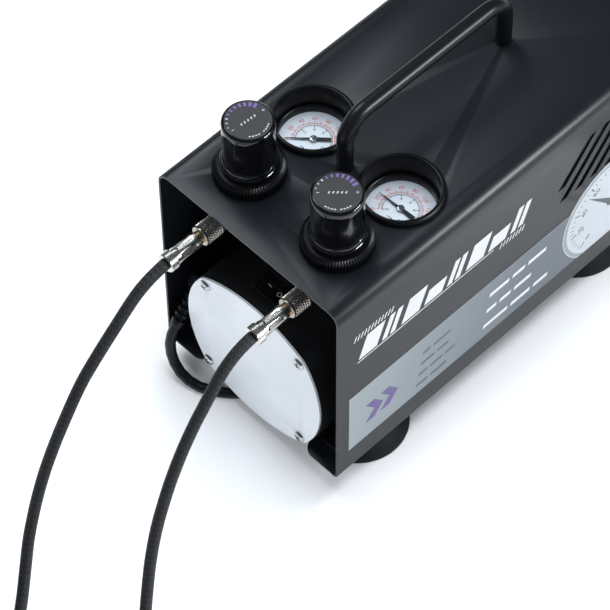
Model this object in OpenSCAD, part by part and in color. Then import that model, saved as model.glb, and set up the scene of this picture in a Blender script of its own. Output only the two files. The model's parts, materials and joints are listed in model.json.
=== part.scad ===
// Airbrush compressor: two regulated outlets, two gauges, an oil-free piston pump and an air tank
// in a folded steel case. Millimetres, +Z up, front of the case towards -Y. The origin is on the
// surface that the feet stand on, under the middle of the case.

/* [Case] */
// Width of the folded cover, side to side
case_w = 140; // [130:1:165]
// Length of the folded cover, front to back
case_l = 276; // [260:1:330]
// Height of the folded cover
case_h = 160.5; // [155:0.5:195]
// Height of the cover's underside above the floor
case_floor = 18; // [18:0.5:24]
// Thickness of the steel sheet
sheet = 1.4; // [1:0.1:2]
// Outer radius of the two top bends
top_bend = 8.4; // [5:0.1:12]
// Outer radius of the two bottom bends
low_bend = 3.6; // [2:0.1:6]
// Width of each return flange under the cover
flange_w = 29; // [20:1:34]
// Corner radius of the return flanges
flange_corner = 8; // [3:1:12]
// Distance of the base plate's front edge from the cover's front edge
tray_setback = 12; // [8:1:20]

/* [Feet] */
// Radius of a rubber suction foot
foot_r = 31; // [24:0.5:34]
// Distance of a foot's centre from the middle of the case
foot_x = 41; // [38:0.5:46]
// Distance of a foot's centre from the end of the case
foot_inset = 45; // [40:1:60]
// Radius of the foot's neck, which passes the flange
foot_neck_r = 8.5; // [7:0.5:11]

/* [Handle] */
// Radius of the handle's tube
handle_r = 4.9; // [4:0.1:7]
// Height of the tube's centreline above the cover
handle_rise = 38; // [30:1:60]
// Bend radius of the tube's centreline
handle_bend = 16; // [12:1:25]
// Distance between the two legs
handle_span = 126; // [100:1:160]

/* [Regulators] */
// Distance of each regulator from the middle of the case
reg_x = 34; // [32:0.5:40]
// Distance of the regulators from the front edge
reg_d = 35.3; // [30:0.1:45]
// Radius of the knurled panel ring
ring_r = 20.8; // [18:0.1:23]
// Height of the knurled panel ring
ring_h = 8.5; // [6:0.5:12]
// Radius of the regulator's threaded neck
neck_r = 14.9; // [13:0.1:17]
// Radius of the regulator's body under the cover
reg_body_r = 17; // [15:0.5:19]
// Radius of the knob's barrel
knob_r = 14.8; // [13:0.1:17]
// Height of the knob's top above the panel ring
knob_h = 37.5; // [30:0.5:45]
// Travel of the knob from locked to free
knob_lift = 4; // [3:0.5:5]
// Angle that the left knob's marks are turned from the right knob's
knob_turn = 40; // [0:5:90]
// Depth of the outlets' centreline under the cover's top
outlet_drop = 23; // [21:0.5:28]

/* [Gauges] */
// Distance of the gauges from the front edge
gauge_d = 84.5; // [80:0.5:100]
// Outer radius of the trim ring
trim_r = 24.8; // [23:0.1:27]
// Inner radius of the trim ring
trim_bore = 21.9; // [20:0.1:23]
// Height of the trim ring above the cover
trim_h = 3.8; // [2:0.1:6]
// Depth of the dial under the cover's top
dial_drop = 16.9; // [14:0.1:20]
// Radius of the visible dial
dial_r = 20; // [17:0.1:20.2]
// Angle of the left needle at rest, from +X
needle_left_at = 222; // [180:1:225]
// Angle of the right needle at rest, from +X
needle_right_at = 182; // [120:1:225]

/* [Hoses] */
// Diameter of the braided hoses
hose_dia = 7; // [6:0.5:8]
// Radius of the knurled hose nut
nut_r = 6.8; // [6:0.1:9]
// Length of the knurled hose nut
nut_l = 14; // [10:0.5:18]
// Radius of the outlet's thread
thread_r = 4.55; // [4:0.05:6]
// Radius of the hose barrel
barrel_r = 4.9; // [4:0.1:6]
// Radius of the crimped ferrule
ferrule_r = 5.9; // [5:0.1:7]
// Outer turn radius of a hose coil, at the hose's centre
coil_r = 48.5; // [40:0.5:60]

/* [Pump] */
// Half the size of the end plate across its flats
plate_half = 53.5; // [48:0.5:56]
// Radius of the end plate's bulged edges
plate_bulge = 73.5; // [68:0.5:100]
// Half the distance between the end plate's screws
screw_half = 37.5; // [32:0.5:40]
// Height of the motor's axis above the floor
axis_z = 62.5; // [62.5:0.5:66]
// Depth of the end housing, front to back
cap_l = 32; // [28:0.1:33]
// Wall of the end housing and the motor's shell
cap_wall = 2.4; // [2:0.1:3]
// Outer radius of the motor's shell
motor_r = 41.5; // [38:0.5:41.5]
// Length of the motor's shell
motor_l = 74; // [70:1:76]
// Radius of the motor's shaft
shaft_r = 4; // [3:0.5:5]
// Radius of the crank
crank_throw = 4; // [3:0.5:5]
// Bore radius of the cylinder
bore_r = 14; // [13:0.5:15]
// Distance between the rod's two eyes
rod_l = 52; // [48:1:54]

/* [Tank] */
// Outer radius of the air tank
tank_r = 52; // [46:0.5:52]
// Length of the air tank, side to side
tank_l = 128; // [110:1:128]
// Thickness of the tank's steel
tank_wall = 1.6; // [1.2:0.1:2.5]

/* [Mains lead] */
// Diameter of the mains lead
lead_dia = 6.5; // [5:0.5:7.5]
// Outer turn radius of the lead's coil, at the lead's centre
lead_coil_r = 46; // [40:0.5:55]

/* [Hidden] */
$fn = 64;

// Clearances
run_gap = 0.06; // radial, of a shaft or thread that turns
slide_gap = 0.08; // radial, of a piece that slides
air_gap = 0.3; // between pieces that pass without touching
cut = 1; // how far a cut runs past the face that it opens

// Case levels and places
top_z = case_floor + case_h;
under_z = top_z - sheet;
tray_z = case_floor + sheet;
tray_t = 1.2;
tray_top = tray_z + tray_t;
inner_w = case_w - 2 * sheet;
tray_w = inner_w - 2 * (low_bend - sheet) - 0.6;
tray_back = 4;
front_y = -case_l / 2;
function at_d(d) = front_y + d; // y of a place d behind the front edge
foot_ys = [at_d(foot_inset), at_d(case_l - foot_inset)];
notch_gap = 1;
bolt_r = 2;
hole_gap = 0.2;
cover_screw_x = case_w / 2 - 12;
cover_screw_ys = [-43, 0, 43];
handle_ys = [-handle_span / 2, handle_span / 2];
stud_r = 3;

// Outlets and regulators
outlet_z = top_z - outlet_drop;
reg_y = at_d(reg_d);
reg_h = 38.5;
reg_z = top_z - reg_h;
ring_top = top_z + ring_h;
tower_r = 10.4;
tower_h = 19.5;
tower_top = ring_top + tower_h;
spindle_r = 4;
spline_r = 3.6;
knob_top = ring_top + knob_h;
knob_seat = 0.4;
knob_wall = 3.4;
cap_disc_r = knob_r - 1.4;
cap_disc_t = 1.4;
nipple_hex_r = 5.8;
nipple_tip_d = 2;
nut_d = -3.5; // the nut's front face, behind the case's front edge
collar_r = thread_r - slide_gap;
nut_web = 2.5;
collar_room = 3.1;
tail_neck_r = 3.4;
barrel_l = 18;
ferrule_l = 5.5;
neck_l = 2.5;
fitting_l = neck_l + barrel_l + ferrule_l; // from the nut's face to the hose
hose_exit_d = nut_d - fitting_l;

// Gauges
gauge_y = at_d(gauge_d);
trim_sleeve_r = trim_bore + 1.1;
gauge_case_r = trim_bore - 0.2;
gauge_h = 24.1;
bezel_h = 1;
lens_gap = 2.8; // from the dial to the cover
dial_seat = 0.5;
lens_seat = 0.9;
sleeve_l = 12.5;
dial_z = top_z - dial_drop;
dial_t = 0.6;
lens_t = 1.6;
gauge_top = dial_z + lens_gap + lens_t + bezel_h;
gauge_low = gauge_top - gauge_h;
movement_h = 14; // of the space under the dial
post_r = 0.8;
needle_z = dial_z + 1;
needle_t = 0.4;

// Pump places, along the motor's axis
plate_d = 2.1;
plate_t = 1.5;
gasket_t = 0.8;
cap_d = plate_d + plate_t + gasket_t;
cap_half = plate_half + 0.5;
cap_bulge = plate_bulge + 0.5;
cap_end_d = cap_d + cap_l;
motor_end_d = cap_end_d + motor_l;
boss_r = 14;
bearing_r = 11;
bearing_l = 7;
core_d = cap_end_d + 17;
core_l = 35;
stator_gap = 0.6;
rotor_r = 24;
fan_d = cap_d + 8;
fan_r = 33;
crank_d = motor_end_d + 4;
crank_t = 6;
pin_r = 3;
rod_d = crank_d + 15;
rod_t = 6;
pump_d = rod_d + rod_t / 2;
pump_y = at_d(pump_d);
case_out_r = 26;
crankcase_l = 40;
block_z = axis_z + 35.5;
deck_half = 20;
cyl_h = 42;
head_z = block_z + cyl_h;
head_h = 16;
rod_top_z = axis_z + crank_throw + rod_l;
crown_z = head_z - 1.5;
crown_t = 4;
skirt_h = 26;

// Switch on the end housing
switch_d = 17.2;
switch_l = 20.4;
switch_w = 11.2;
switch_z = axis_z + cap_half;
rocker_z = switch_z - 3;
rocker_tilt = 9;
rocker_half = 7.8;

// Tank and air lines
tank_z = tray_top + 3 + tank_r;
tank_d = case_l - 12 - tank_r;
tank_y = at_d(tank_d);
dome_rise = 8;
dome_r = (pow(tank_r, 2) + pow(dome_rise, 2)) / (2 * dome_rise);
pipe_r = 3;
pipe_z = reg_z - 8;
pipe_bend = 8;
delivery_r = 4;
delivery_z = head_z + 8;
manifold_d = tank_d + 16;
manifold_w = 16;
manifold_z = tank_z + tank_r + 1;
manifold_h = 13;
valve_x = 20;
drain_x = -8;
drain_boss_h = 8;

// Mains lead
gland_x = -61;
gland_d = 16;
gland_z = axis_z - 2;
gland_tilt = 40;
relief_l = 28;
lead_exit = [gland_x, at_d(gland_d) - relief_l * sin(gland_tilt),
    gland_z - relief_l * cos(gland_tilt)];

// Routes of the free hoses and the lead, as they leave the case and lie on the floor. The first
// and last points follow the fittings.
left_run = [
    [-reg_x, at_d(hose_exit_d), outlet_z], [-34, -178, 153.5], [-34, -190, 148],
    [-33, -206, 137], [-32, -222, 125], [-31, -236, 113], [-29, -250, 98], [-27, -263, 82],
    [-24, -275, 67], [-19, -287, 53], [-13, -298, 40], [-6, -308, 27.5], [2, -319, 16],
    [10, -331, 8], [17, -345, 4.2], [22, -357, 3.5], [25, -367.5, 3.5]];
right_run = [
    [reg_x, at_d(hose_exit_d), outlet_z], [34, -178, 153], [34.5, -190, 146.5],
    [36, -204, 134], [38, -218, 121.5], [41, -232, 107.5], [44.5, -244, 94], [49, -256, 79],
    [54, -266, 64], [60, -275, 50], [67, -284, 37], [76, -293, 25], [86, -302, 15],
    [96, -310, 8], [105, -317, 4.3], [114, -324, 3.5]];
lead_run = [
    lead_exit, [-61, -143.5, 33.5], [-60.5, -145.5, 27], [-59, -146.5, 20], [-56, -147, 13.5],
    [-51, -147, 8], [-45, -146, 4.6], [-38, -144, 3.25], [-30, -140, 3.25], [-22, -134, 3.25],
    [-15, -126, 3.25], [-9, -116, 3.25], [-5, -105, 3.25], [-2, -92, 3.25],
    [1, -76, 3.25], [3, -60, 3.25], [4, -40, 3.25], [4, -20, 3.25], [4, 0, 3.25],
    [4, 20, 3.25], [4, 40, 3.25], [4, 60, 3.25], [4, 80, 3.25], [4, 100, 3.25],
    [4, 120, 3.25], [4, 138, 3.25], [4, 155, 3.25], [4, 170, 3.25], [4, 186, 3.25]];
left_coil = [-21, -384];
right_coil = [83, -361];
lead_coil = [50, 186];
coil_turns_out = 3; // turns beside each other
coil_layers = 2;
left_tail_at = -28;
right_tail_at = 2;
lead_tail_at = 67;
tail_sweep = 62; // angle round the coil from the last turn to the fitting
tail_steps = 5;

// ---- helpers -----------------------------------------------------------------------------

function unit(v) = v / norm(v);

// Directions of a route at its points
function route_dirs(p) = [for (i = [0 : len(p) - 1])
    unit(p[min(i + 1, len(p) - 1)] - p[max(i - 1, 0)])];

// First side vector of a route
function start_side(t) = unit(cross(t, abs(t[2]) > 0.7 ? [1, 0, 0] : [0, 0, 1]));

// Side vectors that follow the route without twisting
function route_sides(t) = [for (i = 0, u = start_side(t[0]); i < len(t);
    i = i + 1, u = unit(u - (u * t[min(i, len(t) - 1)]) * t[min(i, len(t) - 1)])) u];

// A round tube along a list of points
module tube(p, dia, sides = 10) {
    t = route_dirs(p);
    u = route_sides(t);
    n = len(p);
    ring = [for (i = [0 : n - 1]) let (v = cross(t[i], u[i])) for (k = [0 : sides - 1])
        let (a = 360 * k / sides) p[i] + dia / 2 * (cos(a) * u[i] + sin(a) * v)];
    walls = [for (i = [0 : n - 2]) for (k = [0 : sides - 1]) let (a = i * sides + k,
        b = i * sides + (k + 1) % sides) [a, a + sides, b + sides, b]];
    low = [for (k = [0 : sides - 1]) k];
    high = [for (k = [sides - 1 : -1 : 0]) (n - 1) * sides + k];
    polyhedron(ring, concat([low], walls, [high]), convexity = 6);
}

// Points from a coil's last turn, round it and down to the fitting's height
function tail_route(c, r, dia, start, low, side) = [for (i = [0 : tail_steps])
    let (f = i / tail_steps, a = start - tail_sweep * f, out = r + side * min(1, f * 1.6))
    [c[0] + out * cos(a), c[1] + out * sin(a), low + (1.5 * dia - low) * pow(1 - f, 2)]];

// Places a child that points along +Y from its origin at the end of a route
module at_end(p) {
    n = len(p);
    e = p[n - 1];
    h = e - p[n - 2];
    translate(e) rotate([0, 0, atan2(h[1], h[0]) - 90]) children();
}

// Solid of a neat round coil
module coil(c, r, dia) {
    low = 0;
    translate([c[0], c[1], low]) difference() {
        cylinder(r = r + dia / 2, h = coil_layers * dia);
        translate([0, 0, -cut])
            cylinder(r = r + dia / 2 - coil_turns_out * dia, h = coil_layers * dia + 2 * cut);
    }
}

// A child at each side of the case
module both_sides(x) {
    for (s = [-1, 1]) translate([s * x, 0, 0]) children();
}

// A cylinder along +Y from y to y + l
module rod_y(r, y, l, x = 0, z = 0, fn = 0) {
    translate([x, y, z]) rotate([-90, 0, 0]) cylinder(r = r, h = l, $fn = fn > 0 ? fn : $fn);
}

// Outline with round corners, on the x axis: w wide, h high, corners rt at the top, rb below
module round_outline(w, h, rt, rb) {
    translate([-w / 2, rb]) square([w, h - rt - rb]);
    translate([-w / 2 + rb, 0]) square([w - 2 * rb, h / 2]);
    translate([-w / 2 + rt, h / 2]) square([w - 2 * rt, h / 2]);
    for (s = [-1, 1]) {
        translate([s * (w / 2 - rb), rb]) circle(r = rb);
        translate([s * (w / 2 - rt), h - rt]) circle(r = rt);
    }
}

// Square outline with bulged edges and cut corners, half wide
module bulged_square(half, bulge) {
    corner = half * 1.0785;
    intersection() {
        translate([half - bulge, 0]) circle(r = bulge, $fn = 128);
        translate([bulge - half, 0]) circle(r = bulge, $fn = 128);
        translate([0, half - bulge]) circle(r = bulge, $fn = 128);
        translate([0, bulge - half]) circle(r = bulge, $fn = 128);
        rotate(45) square(2 * corner, center = true);
    }
}

// The bulged square as a block from depth d, l deep, on the motor's axis
module bulged_block(half, bulge, d, l) {
    translate([0, at_d(d) + l, axis_z]) rotate([90, 0, 0]) linear_extrude(l)
        bulged_square(half, bulge);
}

// ---- case --------------------------------------------------------------------------------

vent_low = top_z - 66;
vent_high = top_z - 23;
vent_pitch = 12.5;
vent_w = 6;
vent_lean = 38; // of a slot from upright
vent_first_d = 178;
vent_count = 7;

// One leaning slot from height low to height high, its foot at depth d on the lower line
module vent_slot(d, low, high) {
    lean = tan(vent_lean);
    y = at_d(d);
    translate([-case_w, 0, 0]) rotate([90, 0, 90]) linear_extrude(2 * case_w) polygon([
        [y + (low - vent_low) * lean, low], [y + (low - vent_low) * lean + vent_w, low],
        [y + (high - vent_low) * lean + vent_w, high], [y + (high - vent_low) * lean, high]]);
}

module vent_slots() {
    for (i = [0 : vent_count - 1]) let (last = i == vent_count - 1)
        vent_slot(vent_first_d + (i - 1) * vent_pitch,
            i == 0 ? vent_low + 13 : vent_low, last ? vent_low + 26 : vent_high);
}

// Gap between the return flanges, widened at both ends by the flanges' round corners
module flange_gap() {
    half = case_w / 2 - flange_w;
    translate([-half, front_y - cut, 0]) square([2 * half, case_l + 2 * cut]);
    for (sx = [-1, 1]) for (sy = [-1, 1]) difference() {
        translate([sx * (half + (flange_corner - cut) / 2),
            sy * (case_l - flange_corner + cut) / 2])
            square(flange_corner + cut, center = true);
        translate([sx * (half + flange_corner), sy * (case_l / 2 - flange_corner)])
            circle(r = flange_corner);
    }
    for (sx = [-1, 1]) for (y = foot_ys) translate([sx * foot_x, y])
        circle(r = foot_neck_r + notch_gap);
}

module cover_shell() color([0.2, 0.22, 0.25]) difference() {
    translate([0, case_l / 2, case_floor]) rotate([90, 0, 0]) linear_extrude(case_l) difference() {
        round_outline(case_w, case_h, top_bend, low_bend);
        translate([0, sheet]) round_outline(inner_w, case_h - 2 * sheet, top_bend - sheet,
            low_bend - sheet);
    }
    translate([0, 0, case_floor - cut]) linear_extrude(sheet + cut + low_bend) flange_gap();
    both_sides(reg_x) translate([0, reg_y, under_z - cut])
        cylinder(r = neck_r + hole_gap, h = sheet + 2 * cut);
    both_sides(reg_x) translate([0, gauge_y, under_z - cut])
        cylinder(r = trim_sleeve_r + hole_gap, h = sheet + 2 * cut);
    for (y = handle_ys) translate([0, y, under_z - cut])
        cylinder(r = stud_r + hole_gap, h = sheet + 2 * cut);
    both_sides(cover_screw_x) for (y = cover_screw_ys) translate([0, y, case_floor - cut])
        cylinder(r = bolt_r + hole_gap, h = sheet + 2 * cut);
    vent_slots();
}

module base_plate() color([0.55, 0.56, 0.58]) difference() {
    translate([-tray_w / 2, at_d(tray_setback), tray_z])
        cube([tray_w, case_l - tray_setback - tray_back, tray_t]);
    bay = cap_half - 12.5;
    translate([-bay, at_d(tray_setback) - cut, tray_z - cut])
        cube([2 * bay, cap_end_d + 3 - tray_setback + cut, tray_t + 2 * cut]);
    for (s = [-1, 1]) for (y = foot_ys) translate([s * foot_x, y, tray_z - cut])
        cylinder(r = bolt_r + hole_gap, h = tray_t + 2 * cut);
    both_sides(cover_screw_x) for (y = cover_screw_ys) translate([0, y, tray_z - cut])
        cylinder(r = bolt_r + hole_gap, h = tray_t + 2 * cut);
    translate([drain_x, tank_y, tray_z - cut]) cylinder(r = 8, h = tray_t + 2 * cut);
}

foot_head_z = 7;

// A suction foot: a thin dished lip round a solid boss
module one_foot() {
    rotate_extrude() difference() {
        union() {
            polygon([[0, 4], [foot_neck_r, tray_z], [0, tray_z]]);
            square([foot_neck_r, tray_z]);
            polygon([[0, 0], [foot_r, 0], [foot_r, 1.6], [foot_r * 0.8, 4],
                [foot_r * 0.64, 6.2], [foot_r * 0.45, 9.8], [foot_neck_r + 2, 13.5],
                [foot_neck_r + 1, case_floor - air_gap], [0, case_floor - air_gap]]);
        }
        polygon([[0, -cut], [foot_r - 3, -cut], [foot_r - 3, 0], [foot_r * 0.72, 2.4],
            [foot_r * 0.36, foot_head_z], [0, foot_head_z]]);
        square([bolt_r, 3 * case_floor]);
    }
}

module rubber_feet() color([0.1, 0.1, 0.11])
    for (s = [-1, 1]) for (y = foot_ys) translate([s * foot_x, y, 0]) one_foot();

// A pan-head screw with its head at z = 0 and its nut on top of a stack
module screw_and_nut(r, head_h, stack) {
    translate([0, 0, -head_h]) cylinder(r = 2 * r, h = head_h);
    cylinder(r = r, h = stack + 5);
    translate([0, 0, stack]) difference() {
        cylinder(r = 2 * r, h = 3.2, $fn = 6);
        translate([0, 0, -cut]) cylinder(r = r, h = 3.2 + 2 * cut);
    }
}

module foot_screws() color([0.75, 0.75, 0.77])
    for (s = [-1, 1]) for (y = foot_ys) translate([s * foot_x, y, foot_head_z])
        screw_and_nut(bolt_r, 2.4, tray_top - foot_head_z);

module cover_screws() color([0.75, 0.75, 0.77])
    both_sides(cover_screw_x) for (y = cover_screw_ys) translate([0, y, case_floor])
        screw_and_nut(bolt_r, 2.2, tray_top - case_floor);

// ---- handle ------------------------------------------------------------------------------

// One leg with its bend and half of the grip, towards +Y
module half_handle() {
    leg = handle_rise - handle_bend;
    cylinder(r = handle_r, h = leg);
    translate([0, 0, -12]) cylinder(r = stud_r, h = 12);
    translate([0, -handle_bend, leg]) rotate([90, 0, 90])
        rotate_extrude(angle = 90) translate([handle_bend, 0]) circle(r = handle_r);
    translate([0, -handle_span / 2, handle_rise]) rotate([-90, 0, 0])
        cylinder(r = handle_r, h = handle_span / 2 - handle_bend);
}

module handle_tube() color([0.1, 0.1, 0.11]) translate([0, 0, top_z]) union() {
    translate([0, handle_span / 2, 0]) half_handle();
    mirror([0, 1, 0]) translate([0, handle_span / 2, 0]) half_handle();
}

module handle_nuts() color([0.75, 0.75, 0.77]) for (y = handle_ys)
    translate([0, y, under_z - 5]) difference() {
        union() {
            cylinder(r = 5.8, h = 5, $fn = 6);
            translate([0, 0, 4]) cylinder(r = 7, h = 1);
        }
        translate([0, 0, -cut]) cylinder(r = stud_r, h = 5 + 2 * cut);
    }

label_t = 0.3;
label_inset = 8.8;
label_low = 20.9;
label_h = 51.9;

module side_label() color([0.62, 0.67, 0.69])
    translate([case_w / 2, at_d(label_inset), case_floor + label_low])
        cube([label_t, case_l - 2 * label_inset, label_h]);

// ---- regulators --------------------------------------------------------------------------

// Body of one regulator: hangs under the cover, its neck and tower pass through it
module one_regulator() difference() {
    union() {
        translate([0, 0, reg_z]) cylinder(r = reg_body_r, h = under_z - reg_z);
        translate([0, 0, under_z - cut]) cylinder(r = neck_r, h = ring_h + sheet + cut);
        translate([0, 0, ring_top - cut]) cylinder(r = tower_r, h = tower_h + cut);
    }
    translate([0, 0, ring_top]) cylinder(r = spindle_r + run_gap, h = tower_h + cut);
    translate([0, 0, reg_z + 24]) cylinder(r = 9, h = ring_top + 8 - reg_z - 24);
    translate([0, 0, reg_z - cut]) cylinder(r = pipe_r, h = 12);
}

module regulator_bodies() color([0.62, 0.63, 0.65])
    both_sides(reg_x) translate([0, reg_y, 0]) one_regulator();

ring_teeth = 72;

module panel_rings() color([0.12, 0.12, 0.13]) both_sides(reg_x)
    translate([0, reg_y, top_z]) difference() {
        cylinder(r = ring_r, h = ring_h);
        translate([0, 0, -cut]) cylinder(r = neck_r, h = ring_h + 2 * cut);
        for (i = [0 : ring_teeth - 1]) rotate(360 * i / ring_teeth)
            translate([ring_r + 0.25, 0, -cut]) cylinder(r = 0.6, h = ring_h - 1 + cut, $fn = 6);
    }

// Spindle of one regulator: a collar inside the tower, and a six-sided drive for the knob
module one_spindle() {
    translate([0, 0, ring_top + 3]) cylinder(r = 6.5, h = 4.8);
    translate([0, 0, ring_top + 3]) cylinder(r = spindle_r, h = tower_top + 1 - ring_top - 3);
    translate([0, 0, tower_top]) cylinder(r = spline_r, h = knob_top - 6 - tower_top, $fn = 6);
}

module spindle_left() color([0.8, 0.66, 0.35]) translate([-reg_x, reg_y, 0]) one_spindle();
module spindle_right() color([0.8, 0.66, 0.35]) translate([reg_x, reg_y, 0]) one_spindle();

knob_web_z = tower_top + knob_lift / 2;

// One knob: a round barrel with a foot ring, hollow over the tower
module one_knob() difference() {
    foot_z = ring_top + knob_seat;
    rim = 2.2;
    rotate_extrude() union() {
        translate([0, foot_z]) square([knob_r + 1.4, 4.2]);
        translate([0, foot_z]) square([knob_r + 0.7, 5.4]);
        translate([0, foot_z]) square([knob_r, knob_top - rim - foot_z]);
        translate([0, knob_top - rim]) square([knob_r - rim, rim]);
        translate([knob_r - rim, knob_top - rim]) circle(r = rim);
    }
    translate([0, 0, foot_z - cut]) cylinder(r = knob_r - knob_wall, h = knob_web_z - foot_z + cut);
    translate([0, 0, knob_web_z - cut]) cylinder(r = spline_r + slide_gap,
        h = knob_top - 3 - knob_web_z + cut, $fn = 6);
    translate([0, 0, knob_top - cap_disc_t]) cylinder(r = cap_disc_r, h = cap_disc_t + cut);
}

module knob_left() color([0.07, 0.07, 0.08]) translate([-reg_x, reg_y, 0]) one_knob();
module knob_right() color([0.07, 0.07, 0.08]) translate([reg_x, reg_y, 0]) one_knob();

module one_cap() translate([0, 0, knob_top - cap_disc_t]) cylinder(r = cap_disc_r, h = cap_disc_t + 0.2);

module knob_cap_left() color([0.25, 0.25, 0.26]) translate([-reg_x, reg_y, 0]) one_cap();
module knob_cap_right() color([0.25, 0.25, 0.26]) translate([reg_x, reg_y, 0]) one_cap();

// ---- gauges ------------------------------------------------------------------------------

module gauge_trims() color([0.1, 0.1, 0.11]) both_sides(reg_x) translate([0, gauge_y, 0])
    rotate_extrude() union() {
        translate([trim_bore, top_z]) square([trim_r - trim_bore - 1, trim_h]);
        translate([trim_bore, top_z]) square([trim_r - trim_bore, trim_h - 1]);
        translate([trim_r - 1, top_z + trim_h - 1]) circle(r = 1);
        translate([trim_bore, top_z - sleeve_l]) square([trim_sleeve_r - trim_bore, sleeve_l + cut]);
    }

module gauge_cases() color([0.08, 0.08, 0.09]) both_sides(reg_x) translate([0, gauge_y, 0])
    difference() {
        union() {
            translate([0, 0, gauge_low]) cylinder(r = gauge_case_r, h = gauge_h);
            translate([0, 0, pipe_z + pipe_r]) cylinder(r = 5.5, h = gauge_low - pipe_z - pipe_r, $fn = 6);
        }
        translate([0, 0, dial_z - movement_h]) cylinder(r = dial_r + dial_seat, h = movement_h + lens_gap);
        translate([0, 0, dial_z + lens_gap - cut]) cylinder(r = dial_r + lens_seat, h = lens_t + cut);
        translate([0, 0, dial_z]) cylinder(r = dial_r, h = gauge_top - dial_z + cut);
    }

module gauge_dials() color([0.93, 0.95, 0.97]) both_sides(reg_x) translate([0, gauge_y, 0]) {
    translate([0, 0, dial_z - dial_t]) cylinder(r = dial_r + dial_seat, h = dial_t);
    translate([0, 0, dial_z - cut / 2]) cylinder(r = post_r, h = needle_z + needle_t + 0.7 - dial_z + cut / 2);
}

module gauge_lenses() color([0.85, 0.9, 0.95, 0.3]) both_sides(reg_x)
    translate([0, gauge_y, dial_z + lens_gap]) cylinder(r = dial_r + lens_seat, h = lens_t);

// Needle that points along +X: hub, pointer and weighted tail
module one_needle() difference() {
    union() {
        cylinder(r = 2, h = needle_t + 0.4);
        linear_extrude(needle_t) polygon([[0, -0.7], [dial_r - 4.5, -0.15], [dial_r - 3.5, 0],
            [dial_r - 4.5, 0.15], [0, 0.7]]);
        translate([-dial_r / 2, -1.1, 0]) cube([dial_r / 2 - 0.5, 2.2, needle_t]);
    }
    translate([0, 0, -cut]) cylinder(r = post_r + run_gap, h = needle_t + 0.4 + 2 * cut);
}

module needle_left() color([0.05, 0.05, 0.05])
    translate([-reg_x, gauge_y, needle_z]) rotate(needle_left_at) one_needle();
module needle_right() color([0.05, 0.05, 0.05])
    translate([reg_x, gauge_y, needle_z]) rotate(needle_right_at) one_needle();

// ---- hoses -------------------------------------------------------------------------------

module outlet_nipples() color([0.8, 0.79, 0.76]) both_sides(reg_x) {
    back = reg_y - reg_body_r + 2;
    seat = at_d(nut_d + nut_l + 0.6);
    difference() {
        union() {
            rod_y(thread_r, at_d(nipple_tip_d), back - at_d(nipple_tip_d), z = outlet_z);
            rod_y(nipple_hex_r, seat, 4, z = outlet_z, fn = 6);
        }
        rod_y(2, at_d(nipple_tip_d) - cut, 30, z = outlet_z);
        translate([0, reg_y, reg_z]) cylinder(r = reg_body_r, h = 40);
    }
}

// Knurled nut with its small end at the origin and its mouth towards +Y
module one_nut() difference() {
    rod_y(nut_r, 0, nut_l);
    rod_y(thread_r + run_gap, nut_web + collar_room, nut_l);
    rod_y(thread_r + 4 * run_gap, nut_web, collar_room);
    rod_y(tail_neck_r + run_gap, -cut, nut_l);
}

// Hose tail with the nut's collar at +Y and the hose's end at -fitting_l
module one_barrel() difference() {
    union() {
        rod_y(collar_r, nut_web + 0.2, collar_room - 0.5);
        rod_y(tail_neck_r, -neck_l, neck_l + 3);
        rod_y(barrel_r, -neck_l - barrel_l, barrel_l, fn = 12);
        rod_y(barrel_r + 0.2, -neck_l - 2.5, 2.5);
        rod_y(ferrule_r - 0.5, -neck_l - barrel_l, 3);
        rod_y(ferrule_r, -fitting_l, ferrule_l);
    }
    rod_y(1.6, -fitting_l + 4, fitting_l + 4);
}

module hose_nut_left() color([0.8, 0.79, 0.76]) translate([-reg_x, at_d(nut_d), outlet_z]) one_nut();
module hose_nut_right() color([0.8, 0.79, 0.76]) translate([reg_x, at_d(nut_d), outlet_z]) one_nut();

left_tail = tail_route(left_coil, coil_r, hose_dia, left_tail_at, nut_r, 1.75 * hose_dia);
right_tail = tail_route(right_coil, coil_r, hose_dia, right_tail_at, nut_r, 1.75 * hose_dia);

module hose_barrels() color([0.83, 0.82, 0.79]) {
    both_sides(reg_x) translate([0, at_d(nut_d), outlet_z]) one_barrel();
    at_end(left_tail) translate([0, fitting_l, 0]) one_barrel();
    at_end(right_tail) translate([0, fitting_l, 0]) one_barrel();
}

module hose_end_nut_left() color([0.8, 0.79, 0.76])
    at_end(left_tail) translate([0, fitting_l, 0]) one_nut();
module hose_end_nut_right() color([0.8, 0.79, 0.76])
    at_end(right_tail) translate([0, fitting_l, 0]) one_nut();

module air_hose_left() color([0.1, 0.1, 0.12]) {
    tube(left_run, hose_dia);
    tube(left_tail, hose_dia);
}
module air_hose_right() color([0.1, 0.1, 0.12]) {
    tube(right_run, hose_dia);
    tube(right_tail, hose_dia);
}
module hose_coil_left() color([0.1, 0.1, 0.12]) coil(left_coil, coil_r, hose_dia);
module hose_coil_right() color([0.1, 0.1, 0.12]) coil(right_coil, coil_r, hose_dia);

// ---- motor and pump ----------------------------------------------------------------------

// A child whose +Z points back up the lead at its strain relief
module at_gland() {
    translate([gland_x, at_d(gland_d), gland_z]) rotate([-gland_tilt, 0, 0]) children();
}

module end_housing() color([0.1, 0.1, 0.12]) difference() {
    union() {
        bulged_block(cap_half, cap_bulge, cap_d, cap_l);
        rod_y(boss_r, at_d(cap_end_d - 4), 7, z = axis_z);
        at_gland() cylinder(r = 6.4, h = 8);
        at_gland() translate([0, -5, 0]) cube([12, 10, 8]);
    }
    bulged_block(cap_half - cap_wall, cap_bulge - cap_wall, cap_d - cut, cap_l - 4 + cut);
    rod_y(bearing_r, at_d(cap_end_d + 3 - bearing_l), bearing_l + cut, z = axis_z);
    rod_y(shaft_r + 1, at_d(cap_d), cap_l + cut, z = axis_z);
    translate([-switch_l / 2 + 1, at_d(switch_d) - switch_w / 2 + 1, switch_z - 8])
        cube([switch_l - 2, switch_w - 2, 16]);
}

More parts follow.
